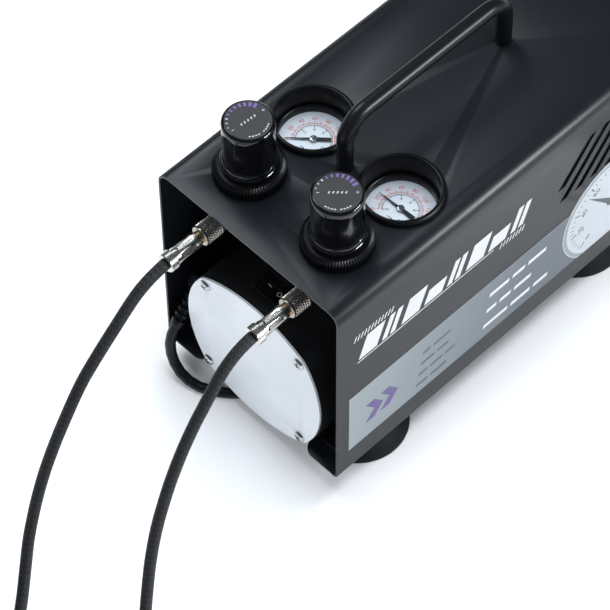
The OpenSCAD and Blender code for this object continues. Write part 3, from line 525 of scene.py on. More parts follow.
class Palette:
    """Every finish of the machine, made once."""

    def __init__(self) -> None:
        """Makes the finishes."""
        self.made: dict[str, bpy.types.Material] = {}
        ink = dict(rough=0.45, grain=1500.0, depth=0.000004)
        for finish in (
            Coat("case_coat", (0.0054, 0.0068, 0.0094), 0.40, grain=3200.0, depth=0.00002, specular=0.34),
            Coat("handle_coat", (0.004, 0.0045, 0.0055), 0.36, depth=0.00001, specular=0.25),
            Coat("housing_coat", (0.006, 0.0065, 0.0075), 0.55, grain=1400.0, depth=0.0001, specular=0.35),
            Coat("soft_rubber", (0.005, 0.005, 0.006), 0.55, grain=1800.0, depth=0.00004, specular=0.28),
            Coat("dark_nylon", (0.0025, 0.0027, 0.0033), 0.38, depth=0.00001, specular=0.2),
            Coat("knob_gloss", (0.0022, 0.0024, 0.0034), 0.12, grain=1500.0, depth=0.0, drift=0.01),
            Coat("cap_face", (0.022, 0.023, 0.026), 0.45, grain=4200.0, depth=0.00002, specular=0.4),
            Coat("plate_white", (0.74, 0.785, 0.835), 0.36, depth=0.000005, drift=0.03),
            Coat("dial_face", (0.66, 0.71, 0.76), 0.4, depth=0.000003, drift=0.03),
            Coat("needle_black", (0.005, 0.005, 0.006), 0.4),
            Coat("cord_skin", (0.003, 0.003, 0.0037), 0.4, depth=0.00001, specular=0.3),
            Coat("switch_gloss", (0.005, 0.005, 0.006), 0.28, depth=0.000004),
            Coat("tank_coat", (0.018, 0.019, 0.022), 0.4),
            Coat("copper_wire", (0.36, 0.14, 0.05), 0.4, grain=900.0, depth=0.0003),
            Coat("white_ink", (0.86, 0.87, 0.88), **ink),
            Coat("grey_ink", (0.09, 0.10, 0.115), **ink),
            Coat("pale_ink", (0.36, 0.39, 0.41), **ink),
            Coat("red_ink", (0.62, 0.09, 0.08), **ink),
            Coat("black_ink", (0.02, 0.021, 0.024), **ink),
            Coat("violet_ink", (0.115, 0.075, 0.27), **ink),
            Metal("nickel", (0.66, 0.63, 0.585), 0.24, depth=0.000002),
            Metal("knurled_nickel", (0.42, 0.385, 0.34), 0.26, depth=0.000002),
            Metal("warm_brass", (0.80, 0.60, 0.32), 0.26, depth=0.000002),
            Metal("zinc_plate", (0.55, 0.56, 0.575), 0.2, depth=0.000002),
            Metal("cast_grey", (0.55, 0.56, 0.58), 0.42, scale=500.0, depth=0.0001),
            Metal("sheet_steel", (0.62, 0.63, 0.65), 0.34, grain=(1, 0.08, 1)),
            Braid("hose_weave", (0.0025, 0.0028, 0.0036), (0.016, 0.018, 0.022)),
            Sticker("label_film", srgb(150, 161, 165), srgb(92, 102, 112), -0.13, 0.02),
            ClearCover("gauge_cover"),
        ):
            self.made[finish.name] = finish.build()

    def __getitem__(self, name: str) -> bpy.types.Material:
        """The finish of that name."""
        return self.made[name]


# ---- shaping kit ---------------------------------------------------------------------------


class Shape:
    """One mesh in the making, in millimetres until it becomes a piece."""

    def __init__(self) -> None:
        """Starts empty."""
        self.bm = bmesh.new()

    def lathe(self, profile: Sequence[tuple[float, float]], steps: int = 64) -> "Shape":
        """Spins a profile round Z.

        Args:
            profile: Radius and height of each point, along the wall.
            steps: Steps in the full turn.

        Returns:
            The shape.
        """
        verts = [self.bm.verts.new((r, 0, z)) for r, z in profile]
        edges = [self.bm.edges.new(pair) for pair in zip(verts, verts[1:])]
        bmesh.ops.spin(
            self.bm, geom=verts + edges, cent=(0, 0, 0), axis=(0, 0, 1),
            angle=2 * math.pi, steps=steps, use_merge=True,
        )
        return self.tidy()

    def tidy(self) -> "Shape":
        """Merges doubles, dissolves degenerate edges and turns faces outwards."""
        bmesh.ops.remove_doubles(self.bm, verts=self.bm.verts[:], dist=0.0005)
        bmesh.ops.dissolve_degenerate(self.bm, dist=0.0002, edges=self.bm.edges[:])
        bmesh.ops.recalc_face_normals(self.bm, faces=self.bm.faces[:])
        return self

    def slab(self, outline: Sequence[tuple[float, float]], low: float, high: float) -> "Shape":
        """Adds a flat plate of any outline.

        Args:
            outline: Points in X and Y.
            low: Lower face's height.
            high: Upper face's height.

        Returns:
            The shape.
        """
        face = self.bm.faces.new([self.bm.verts.new((x, y, low)) for x, y in outline])
        grown = bmesh.ops.extrude_face_region(self.bm, geom=[face])
        verts = [g for g in grown["geom"] if isinstance(g, bmesh.types.BMVert)]
        bmesh.ops.translate(self.bm, vec=(0, 0, high - low), verts=verts)
        bmesh.ops.recalc_face_normals(self.bm, faces=self.bm.faces[:])
        return self

    def arc_band(
        self, inner: float, outer: float, start: float, end: float, low: float, high: float
    ) -> "Shape":
        """Adds a flat band along an arc.

        Args:
            inner: Inner radius.
            outer: Outer radius.
            start: First angle in degrees.
            end: Last angle in degrees.
            low: Lower face's height.
            high: Upper face's height.

        Returns:
            The shape.
        """
        count = max(2, int(abs(end - start) / 5))
        turns = [math.radians(start + (end - start) * i / count) for i in range(count + 1)]
        rim = [(outer * math.cos(a), outer * math.sin(a)) for a in turns]
        back = [(inner * math.cos(a), inner * math.sin(a)) for a in reversed(turns)]
        return self.slab(rim + back, low, high)

    def ring(self, inner: float, outer: float, low: float, high: float, steps: int = 64) -> "Shape":
        """Adds a closed flat ring."""
        other = Shape().lathe([(inner, low), (outer, low), (outer, high), (inner, high), (inner, low)], steps)
        return self.join(other)

    def bevel(self, width: float, segments: int = 2, angle: float = 30.0) -> "Shape":
        """Rounds the sharp edges.

        Args:
            width: Bevel width.
            segments: Facets across it.
            angle: Edges sharper than this are rounded, in degrees.

        Returns:
            The shape.
        """
        sharp = [
            e for e in self.bm.edges
            if len(e.link_faces) == 2 and e.calc_face_angle(0) > math.radians(angle)
        ]
        bmesh.ops.bevel(
            self.bm, geom=sharp, offset=width, offset_type="OFFSET", segments=segments,
            profile=0.5, affect="EDGES", clamp_overlap=True, material=-1,
        )
        return self

    def move(self, matrix: Matrix) -> "Shape":
        """Transforms everything so far."""
        bmesh.ops.transform(self.bm, matrix=matrix, verts=self.bm.verts[:])
        return self

    def shift(self, x: float, y: float, z: float) -> "Shape":
        """Translates everything so far."""
        return self.move(Matrix.Translation((x, y, z)))

    def join(self, other: "Shape") -> "Shape":
        """Takes in another shape's mesh."""
        mesh = bpy.data.meshes.new("part")
        other.bm.to_mesh(mesh)
        other.bm.free()
        self.bm.from_mesh(mesh)
        bpy.data.meshes.remove(mesh)
        return self

    def piece(
        self, name: str, finish: bpy.types.Material, body: str, replaces: Iterable[str] = (),
        slot: str | None = None, smooth: float = 32.0,
    ) -> bpy.types.Object:
        """Makes the scene object.

        Args:
            name: The piece's name.
            finish: Its material.
            body: The CAD body that it rides on.
            replaces: CAD nodes that it stands for.
            slot: The record's material slot.
            smooth: Edges sharper than this stay sharp, in degrees.

        Returns:
            The object.
        """
        bmesh.ops.scale(self.bm, vec=(MM, MM, MM), verts=self.bm.verts[:])
        mesh = bpy.data.meshes.new(name)
        self.bm.to_mesh(mesh)
        self.bm.free()
        for polygon in mesh.polygons:
            polygon.use_smooth = True
        mesh.set_sharp_from_angle(angle=math.radians(smooth))
        mesh.materials.append(finish)
        made = bpy.data.objects.new(name, mesh)
        bpy.context.scene.collection.objects.link(made)
        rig.ride(made, body)
        names = list(replaces)
        if names:
            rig.replaces(made, *names)
        if slot:
            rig.slot(made, slot)
        return made


def copied(node: str) -> Shape:
    """A CAD node's mesh as a clean shape in millimetres.

    Args:
        node: The node's name.

    Returns:
        The shape, merged and with its flat faces whole.
    """
    shape = Shape()
    shape.bm.from_mesh(frame["nodes"][node].data)
    bmesh.ops.scale(shape.bm, vec=(1 / MM,) * 3, verts=shape.bm.verts[:])
    bmesh.ops.remove_doubles(shape.bm, verts=shape.bm.verts[:], dist=0.002)
    bmesh.ops.dissolve_limit(
        shape.bm, angle_limit=math.radians(0.6), verts=shape.bm.verts[:], edges=shape.bm.edges[:]
    )
    return shape


def paint(node: str, finish: bpy.types.Material) -> None:
    """Gives a CAD node its finish.

    Args:
        node: The node's name.
        finish: The material.
    """
    mesh = frame["nodes"][node].data
    if mesh.materials:
        for index in range(len(mesh.materials)):
            mesh.materials[index] = finish
    else:
        mesh.materials.append(finish)


def spline(points: Sequence[Point], step: float) -> list[Vector]:
    """Smooth points along a route.

    Args:
        points: The route's points in millimetres.
        step: Spacing of the result in millimetres.

    Returns:
        Points on a curve through the route.
    """
    route = [Vector(p) for p in points]
    first, last = route[0] * 2 - route[1], route[-1] * 2 - route[-2]
    route = [first, *route, last]
    made: list[Vector] = []
    for a, b, c, d in zip(route, route[1:], route[2:], route[3:]):
        count = max(1, round((c - b).length / step))
        for i in range(count):
            t = i / count
            made.append(
                0.5 * ((2 * b) + (c - a) * t + (2 * a - 5 * b + 4 * c - d) * t * t
                       + (3 * b - a - 3 * c + d) * t ** 3)
            )
    made.append(route[-2])
    return made


def swept(points: Sequence[Vector], radius: float | Callable[[float], float], sides: int) -> Shape:
    """A round tube along a route, with its own UV map.

    Args:
        points: Points in millimetres.
        radius: The tube's radius, or a function of the length so far.
        sides: Sides of the tube.

    Returns:
        The shape, whose UV map holds turns round and metres along.
    """
    shape = Shape()
    bm = shape.bm
    wide = radius if callable(radius) else (lambda _: radius)
    frames, lengths = [], [0.0]
    side = Vector((0, 0, 1)).cross((points[1] - points[0]).normalized())
    if side.length < 0.1:
        side = Vector((1, 0, 0))
    for i, p in enumerate(points):
        t = (points[min(i + 1, len(points) - 1)] - points[max(i - 1, 0)]).normalized()
        side = (side - t * side.dot(t)).normalized()
        up = t.cross(side)
        m = Matrix((side, up, t)).transposed().to_4x4()
        m.translation = p
        frames.append(m)
        if i:
            lengths.append(lengths[-1] + (p - points[i - 1]).length)
    made = bmesh.ops.create_circle(bm, segments=sides, radius=wide(0), matrix=frames[0])
    ring_verts = made["verts"]
    ring_edges = list({e for v in ring_verts for e in v.link_edges})
    bm.faces.new(ring_verts)
    tags: dict[bmesh.types.BMVert, tuple[int, float]] = {}

    def tag(verts: Iterable[bmesh.types.BMVert], index: int) -> None:
        back = frames[index].inverted()
        for v in verts:
            local = back @ v.co
            tags[v] = (round(math.atan2(local.y, local.x) / (2 * math.pi) * sides) % sides, lengths[index])

    tag(ring_verts, 0)
    for i in range(1, len(frames)):
        grown = bmesh.ops.extrude_edge_only(bm, edges=ring_edges)["geom"]
        ring_verts = [g for g in grown if isinstance(g, bmesh.types.BMVert)]
        ring_set = set(ring_verts)
        ring_edges = [
            g for g in grown
            if isinstance(g, bmesh.types.BMEdge) and all(v in ring_set for v in g.verts)
        ]
        scale = wide(lengths[i]) / wide(lengths[i - 1])
        turn = frames[i] @ Matrix.Diagonal((scale, scale, 1, 1)) @ frames[i - 1].inverted()
        bmesh.ops.transform(bm, matrix=turn, verts=ring_verts)
        tag(ring_verts, i)
    bmesh.ops.contextual_create(bm, geom=ring_edges)
    layer = bm.loops.layers.uv.new("along")
    for face in bm.faces:
        if len(face.verts) != 4:
            continue
        wraps = {tags[v][0] for v in face.verts} == {0, sides - 1}
        for loop in face.loops:
            index, length = tags[loop.vert]
            around = sides if wraps and index == 0 else index
            loop[layer].uv = (around / sides, length * MM)
    bmesh.ops.recalc_face_normals(bm, faces=bm.faces[:])
    return shape


def tick(angle: float, inner: float, outer: float, width: float) -> list[tuple[float, float]]:
    """Outline of a radial tick.

    Args:
        angle: Its direction in degrees.
        inner: Inner radius.
        outer: Outer radius.
        width: Width of the tick.

    Returns:
        Four corners.
    """
    a = math.radians(angle)
    out, side = Vector((math.cos(a), math.sin(a))), Vector((-math.sin(a), math.cos(a))) * (width / 2)
    corners = (out * inner - side, out * outer - side, out * outer + side, out * inner + side)
    return [(c.x, c.y) for c in corners]


def spot(angle: float, radius: float) -> tuple[float, float]:
    """Place at an angle in degrees and a radius."""
    return radius * math.cos(math.radians(angle)), radius * math.sin(math.radians(angle))


def numeral(
    text: str, size: float, at: tuple[float, float], turn: float, low: float, high: float
) -> Shape:
    """A flat number.

    Args:
        text: Its digits.
        size: Height of the digits.
        at: Place of its centre.
        turn: Its rotation in degrees.
        low: Lower face's height.
        high: Upper face's height.

    Returns:
        The shape.
    """
    curve = bpy.data.curves.new("numeral", "FONT")
    curve.body, curve.size = text, size * 1.35
    curve.align_x, curve.align_y = "CENTER", "CENTER"
    curve.resolution_u = 3
    curve.extrude = (high - low) / 2
    holder = bpy.data.objects.new("numeral", curve)
    bpy.context.scene.collection.objects.link(holder)
    bpy.context.view_layer.update()
    mesh = bpy.data.meshes.new_from_object(holder.evaluated_get(bpy.context.evaluated_depsgraph_get()))
    shape = Shape()
    shape.bm.from_mesh(mesh)
    bpy.data.objects.remove(holder)
    bpy.data.curves.remove(curve)
    bpy.data.meshes.remove(mesh)
    shape.tidy()
    place = Matrix.Translation((*at, (low + high) / 2))
    return shape.move(place @ Matrix.Rotation(math.radians(turn), 4, "Z"))


# ---- places shared by the sub-assemblies ----------------------------------------------------


@dataclass(frozen=True)
class Places:
    """Places that the pieces share, in millimetres, read from the CAD boxes where they can be."""

    top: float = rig.box("cover_shell")[1][2] / MM
    front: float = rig.box("cover_shell")[0][1] / MM
    rear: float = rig.box("cover_shell")[1][1] / MM
    right: float = 70.0
    reg_x: float = 34.0
    outlet_drop: float = 23.0

    def at_d(self, depth: float) -> float:
        """The y of a place behind the case's front edge."""
        return self.front + depth

    @property
    def outlet_z(self) -> float:
        """Height of the outlets' centreline."""
        return self.top - self.outlet_drop


# ---- camera, floor and light ----------------------------------------------------------------


@dataclass
class Studio:
    """Camera, pale floor and soft light."""

    place: Point = (0.7638, -0.8382, 1.6213)
    azimuth: float = 45.76
    elevation: float = 55.39
    roll: float = -0.50
    lens: float = 194.4

    def camera(self) -> None:
        """Sets up the camera."""
        a, e, r = (math.radians(v) for v in (self.azimuth, self.elevation, self.roll))
        back = Vector((math.sin(a) * math.cos(e), -math.cos(a) * math.cos(e), math.sin(e)))
        right = Vector((math.cos(a), math.sin(a), 0))
        up = back.cross(right)
        right, up = right * math.cos(r) + up * math.sin(r), up * math.cos(r) - right * math.sin(r)
        data = bpy.data.cameras.new("camera")
        data.lens, data.sensor_width = self.lens, 36.0
        data.clip_end = 20.0
        camera = bpy.data.objects.new("camera", data)
        turn = Matrix((right, up, back)).transposed().to_4x4()
        camera.matrix_world = Matrix.Translation(self.place) @ turn
        bpy.context.scene.collection.objects.link(camera)
        bpy.context.scene.camera = camera

    def floor(self) -> None:
        """Lays the floor."""
        bm = bmesh.new()
        bmesh.ops.create_grid(bm, x_segments=1, y_segments=1, size=6.0)
        mesh = bpy.data.meshes.new("floor")
        bm.to_mesh(mesh)
        bm.free()
        kit = Shader("floor_paper")
        mesh.materials.append(
            kit.finish(Base_Color=(0.90, 0.92, 0.95), Roughness=0.55, Specular_IOR_Level=0.2)
        )
        floor = bpy.data.objects.new("floor", mesh)
        bpy.context.scene.collection.objects.link(floor)
        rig.stage(floor)

    def soft(self, name: str, at: Point, target: Point, size: tuple[float, float], watts: float,
             colour: Colour = (1, 1, 1), sheen: bool = False) -> None:
        """Adds a rectangular soft light.

        Args:
            name: The light's name.
            at: Its place in metres.
            target: The point that it faces.
            size: Width and height in metres.
            watts: Its power.
            colour: Its colour.
            sheen: Whether it shows in glossy surfaces only, and otherwise in matt ones only.
        """
        data = bpy.data.lights.new(name, "AREA")
        data.shape, data.size, data.size_y = "RECTANGLE", *size
        data.energy, data.color = watts, colour
        lamp = bpy.data.objects.new(name, data)
        lamp.location = at
        lamp.rotation_euler = (Vector(target) - Vector(at)).to_track_quat("-Z", "Y").to_euler()
        lamp.visible_glossy = sheen
        lamp.visible_diffuse = not sheen
        bpy.context.scene.collection.objects.link(lamp)

    def light(self) -> None:
        """Lights the scene."""
        scene = bpy.context.scene
        scene.view_settings.view_transform = "Standard"
        scene.view_settings.look = "None"
        world = bpy.data.worlds.new("studio_air")
        world.use_nodes = True
        back = world.node_tree.nodes["Background"]
        back.inputs["Color"].default_value = (0.74, 0.86, 1.0, 1.0)
        back.inputs["Strength"].default_value = 0.15
        scene.world = world
        self.soft("overhead", (-0.1, 0.35, 1.9), (0, -0.1, 0), (1.7, 1.5), 52)
        self.soft("front_fill", (0.2, -1.8, 1.3), (0, -0.1, 0.1), (1.6, 1.0), 24)
        self.soft("right_fill", (1.7, 0.2, 1.3), (0.1, 0.0, 0.0), (1.1, 0.8), 12, (0.93, 0.97, 1.0))
        self.soft(
            "top_sheen", (-0.8, -0.06, 1.35), (0, -0.1, 0.18), (0.7, 0.5), 11, (0.88, 0.95, 1.0), sheen=True
        )
        self.soft(
            "bend_strip", (1.3, 0.6, 0.78), (0.07, 0.0, 0.178), (0.7, 0.12), 34, (0.9, 0.96, 1.0), sheen=True
        )

    def build(self) -> None:
        """Sets up the whole stage."""
        self.camera()
        self.floor()
        self.light()


# ---- hoses and lead -------------------------------------------------------------------------


@dataclass
class RoundCoil:
    """A neat coil lying on the floor: two layers of turns beside each other."""

    centre: tuple[float, float]
    radius: float
    dia: float
    start: float
    turns: float
    across: int = 3
    tail_sweep: float = 62.0
    steps: int = 40

    def at(self, angle: float, radius: float, z: float) -> Vector:
        """A place at an angle and a radius round the coil's middle."""
        x, y = spot(angle, radius)
        return Vector((self.centre[0] + x, self.centre[1] + y, z))

    def points(self) -> list[Vector]:
        """Points of the cord's line, clockwise from the first angle."""
        made = []
        for i in range(1, round(self.turns * self.steps) + 1):
            t = i / self.steps
            layer = 0 if t < self.across else 1
            turn = t - layer * self.across
            whole, part = int(turn), turn - int(turn)
            jog = max(0.0, (part - 0.8) / 0.2)
            jog = jog * jog * (3 - 2 * jog)
            last = whole == self.across - 1
            inward = whole + (0 if last and layer == 0 else jog)
            out = inward if layer == 0 else self.across - 1 - inward
            z = self.dia * (0.5 + layer)
            if layer == 0 and last:
                z += self.dia * jog
            made.append(self.at(self.start - 360 * t, self.radius - out * self.dia, z))
        return made

    def tail(self, start: float, low: float, side: float) -> list[Vector]:
        """Points from the last turn down to the fitting.

        Args:
            start: Angle where the tail leaves the coil, in degrees.
            low: Height of the fitting.
            side: How far the tail leaves the coil.

        Returns:
            The points, the last one at the fitting.
        """
        made = []
        for i in range(6):
            f = i / 5
            z = low + (1.5 * self.dia - low) * (1 - f) ** 2
            made.append(self.at(start - self.tail_sweep * f, self.radius + side * min(1, f * 1.6), z))
        return made

    def tie(self, angle: float) -> Shape:
        """A strap round the turns.

        Args:
            angle: Its place on the coil in degrees.

        Returns:
            The strap's shape.
        """
        half, tall = self.across * self.dia / 2, 2 * self.dia
        outer = [(-half - 0.6, 0.0), (half + 0.6, 0.0), (half + 0.6, tall + 0.7), (-half - 0.6, tall + 0.7)]
        inner = [(-half + 0.3, 0.9), (half - 0.3, 0.9), (half - 0.3, tall - 0.2), (-half + 0.3, tall - 0.2)]
        strap = Shape()
        bm = strap.bm
        rings = []
        for y in (-4.0, 4.0):
            for loop in (outer, inner):
                verts = [bm.verts.new((x, y, z)) for x, z in loop]
                rings.append([bm.edges.new((verts[i], verts[(i + 1) % 4])) for i in range(4)])
        for a, b in ((0, 1), (1, 3), (3, 2), (2, 0)):
            bmesh.ops.bridge_loops(bm, edges=rings[a] + rings[b])
        middle = self.at(angle, self.radius - (self.across - 1) / 2 * self.dia, 0)
        strap.tidy().bevel(0.4, 2)
        return strap.move(Matrix.Translation(middle) @ Matrix.Rotation(math.radians(angle), 4, "Z"))


@dataclass
class AirHose:
    """One braided hose with its fittings."""

    side: Side
    places: Places
    palette: Palette
    run: Sequence[Point]
    coil: RoundCoil
    tail_at: float
    dia: float = 7.0
    nut_r: float = 6.8
    nut_l: float = 14.0
    neck_l: float = 2.5
    barrel_l: float = 18.0
    ferrule_l: float = 5.5
    neck_r: float = 3.38
    barrel_r: float = 4.85
    ferrule_r: float = 5.9
    knurl: float = 0.75
    nut_ahead: float = 3.5

    @property
    def fitting_l(self) -> float:
        """Length from the nut's face to the hose."""
        return self.neck_l + self.barrel_l + self.ferrule_l

    def barrel(self) -> Shape:
        """The crimped hose tail, from the nut's face at the origin back to the hose at -Z."""
        n, b, f, hose = self.neck_r, self.barrel_r, self.ferrule_r, self.dia / 2 - 0.1
        neck, low, end = -self.neck_l, -self.neck_l - self.barrel_l, -self.fitting_l
        shape = Shape().lathe(
            [(0, 1.0), (n, 1.0), (n, neck), (b - 0.45, neck), (b, neck - 0.4), (b, neck - 2.2),
             (b, neck - 3.4), (b, low + 4.4), (b, low + 3.2), (b, low + 0.5), (b - 0.25, low + 0.1),
             (f - 0.3, low), (f, low - 0.3), (f, end + 0.6), (f - 0.4, end + 0.1), (hose, end),
             (hose, end + 1.2), (0, end + 1.2)],
            96,
        )
        for v in shape.bm.verts:
            if low + 4.3 < v.co.z < neck - 3.3 and v.co.xy.length > 4:
                turn = math.atan2(v.co.y, v.co.x) % (math.pi / 3) - math.pi / 6
                v.co.xy *= min(1.0, 0.91 / math.cos(turn))
        return shape

    def nut(self) -> Shape:
        """The knurled nut, its small face at the origin and its mouth at +Z."""
        rows, columns = 7, 26
        shape = Shape()
        bm = shape.bm
        r = self.nut_r - self.knurl
        foot = Matrix.Translation((0, 0, 1.6))
        made = bmesh.ops.create_circle(bm, segments=columns, radius=r, matrix=foot)
        edges = list({e for v in made["verts"] for e in v.link_edges})
        walls = []
        step = (self.nut_l - 2.8) / rows
        for _ in range(rows):
            grown = bmesh.ops.extrude_edge_only(bm, edges=edges)["geom"]
            verts = [g for g in grown if isinstance(g, bmesh.types.BMVert)]
            ring = set(verts)
            edges = [
                g for g in grown if isinstance(g, bmesh.types.BMEdge) and all(v in ring for v in g.verts)
            ]
            walls += [g for g in grown if isinstance(g, bmesh.types.BMFace)]
            climb = Matrix.Translation((0, 0, step)) @ Matrix.Rotation(math.pi / columns, 4, "Z")
            bmesh.ops.transform(bm, verts=verts, matrix=climb)
        bmesh.ops.recalc_face_normals(bm, faces=bm.faces[:])
        bmesh.ops.poke(bm, faces=walls, offset=self.knurl)
        bore, mouth, face = 3.46, 4.61, self.nut_l
        shape.join(
            Shape().lathe(
                [(bore, 0), (5.6, 0), (6.15, 0.35), (6.25, 0.9), (6.25, 1.6), (5.0, 1.9), (5.0, face - 1.8),
                 (6.25, face - 1.6), (6.25, face - 0.6), (5.8, face), (mouth + 0.3, face),
                 (mouth, face - 0.4), (mouth, 2.5), (bore, 2.5), (bore, 0)],
                60,
            )
        )
        return shape

    def stand(self, at: Vector, heading: Vector) -> Matrix:
        """Matrix that lays a fitting's +Z along a heading.

        Args:
            at: Place of its origin in millimetres.
            heading: Direction of its +Z.

        Returns:
            The matrix.
        """
        return Matrix.Translation(at) @ heading.to_track_quat("Z", "Y").to_matrix().to_4x4()

    def build(self) -> None:
        side = self.side.value
        tail = self.coil.tail(self.tail_at, self.nut_r, 1.75 * self.dia)
        route = spline(self.run, 5.0) + self.coil.points() + spline([tuple(p) for p in tail], 5.0)[1:]
        finish = self.palette["hose_weave"]
        hose = swept(route, self.dia / 2, 16).piece(
            f"hose_{side}", finish, "case", [f"air_hose_{side}", f"hose_coil_{side}"], "hose_braid", 60
        )
        out = Vector(
            (self.side.sign * self.places.reg_x, self.places.at_d(-self.nut_ahead), self.places.outlet_z)
        )
        end_heading = tail[-1] - tail[-2]
        end_heading.z = 0
        end_heading.normalize()
        end = tail[-1] + end_heading * self.fitting_l
        with_pieces = []
        for where, at, heading, nut in (
            ("outlet", out, Vector((0, 1, 0)), f"hose_nut_{side}"),
            ("end", end, end_heading, f"hose_end_nut_{side}"),
        ):
            matrix = self.stand(at, heading)
            with_pieces.append(
                self.barrel().move(matrix).piece(
                    f"barrel_{where}_{side}", self.palette["nickel"], "case", ["hose_barrels"], "nickel", 15
                )
            )
            with_pieces.append(
                self.nut().move(matrix).piece(
                    f"nut_{where}_{side}", self.palette["knurled_nickel"], nut, [nut], "nickel", 20
                )
            )
            with_pieces.append(
                Shape().lathe([(3.42, -2.3), (4.1, -2.3), (4.1, -0.15), (3.42, -0.15), (3.42, -2.3)], 40)
                .move(matrix).piece(f"seat_{where}_{side}", self.palette["warm_brass"], "case", (), "brass")
            )
        with_pieces.append(
            self.coil.tie(self.tail_at + 70).piece(f"tie_{side}", self.palette["dark_nylon"], "case")
        )
        length = sum((b - a).length for a, b in zip(route, route[1:])) * MM
        LOG.info("hose %s: %.3f m", side, length)
        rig.cord(
            hose, exit=tuple(c * MM for c in route[0]), length=round(length, 2), diameter=self.dia * MM,
            far_end="fitting", stiffness="medium", lay="loose",
            path=[tuple(c * MM for c in p) for p in route], with_pieces=with_pieces,
        )


@dataclass
class MainsLead:
    """The mains lead with its strain relief and plug."""

    places: Places
    palette: Palette
    dia: float = 6.5
    tilt: float = 40.0
    relief_l: float = 28.0
    gland_x: float = -61.0
    gland_d: float = 16.0
    gland_z: float = 60.5
    tail_at: float = 67.0
    coil: RoundCoil = field(default_factory=lambda: RoundCoil((50, 186), 46, 6.5, 180, 5 + 113 / 360))

    def gland(self) -> Vector:
        """Place where the relief meets the housing."""
        return Vector((self.gland_x, self.places.at_d(self.gland_d), self.gland_z))

    def route(self) -> list[Vector]:
        """Points of the lead from the relief to the plug."""
        t = math.radians(self.tilt)
        start = self.gland() - Vector((0, math.sin(t), math.cos(t))) * self.relief_l
        points = [
            tuple(start), (-61, -143.5, 33.5), (-60.5, -145.5, 27), (-59, -146.5, 20), (-56, -147, 13.5),
            (-51, -147, 8), (-45, -146, 4.6), (-38, -144, 3.25), (-30, -140, 3.25), (-22, -134, 3.25),
            (-15, -126, 3.25), (-9, -116, 3.25), (-5, -105, 3.25), (-2, -92, 3.25), (1, -76, 3.25),
            (3, -60, 3.25), (4, -40, 3.25), (4, 0, 3.25), (4, 40, 3.25), (4, 80, 3.25), (4, 120, 3.25),
            (4, 155, 3.25), (4, 186, 3.25),
        ]
        tail = self.coil.tail(self.tail_at, 8, 3 * self.dia)
        return spline(points, 6.0) + self.coil.points() + spline([tuple(p) for p in tail], 5.0)[1:]

    def relief(self) -> Shape:
        """The ribbed, tapered strain relief, wide end at the origin and the lead at -Z."""
        r = self.dia / 2
        wall = [(r - 0.2, 0), (r + 2.4, 0), (r + 2.4, -1.6)]
        for i in range(5):
            z, wide = -3.2 - i * 4.6, r + 2.2 - i * 0.3
            wall += [(wide - 1.2, z), (wide - 1.2, z - 1.2), (wide - 0.1, z - 1.5), (wide - 0.1, z - 3.1)]
        end = -self.relief_l
        wall += [(r + 0.6, end + 0.8), (r + 0.2, end), (r - 0.2, end), (r - 0.2, 0)]
        lean = Matrix.Rotation(-math.radians(self.tilt), 4, "X")
        return Shape().lathe(wall, 40).move(Matrix.Translation(self.gland()) @ lean)

    def build(self) -> None:
        route = self.route()
        skin = self.palette["cord_skin"]
        lead = swept(route, self.dia / 2, 16).piece(
            "lead", skin, "case", ["mains_lead", "mains_coil"], "cord_rubber", 60
        )
        relief = self.relief().piece("lead_relief", skin, "case", ["strain_relief"], "cord_rubber")
        plug = copied("mains_plug").bevel(0.5, 2).piece("plug", skin, "case", ["mains_plug"], "cord_rubber")
        tie = self.coil.tie(-40).piece("tie_lead", self.palette["dark_nylon"], "case")
        length = sum((b - a).length for a, b in zip(route, route[1:])) * MM
        LOG.info("lead: %.3f m", length)
        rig.cord(
            lead, exit=tuple(c * MM for c in route[0]), length=round(length, 2), diameter=self.dia * MM,
            far_end="plug", stiffness="medium", lay="loose",
            path=[tuple(c * MM for c in p) for p in route], with_pieces=[relief, plug, tie],
        )


# ---- case -----------------------------------------------------------------------------------


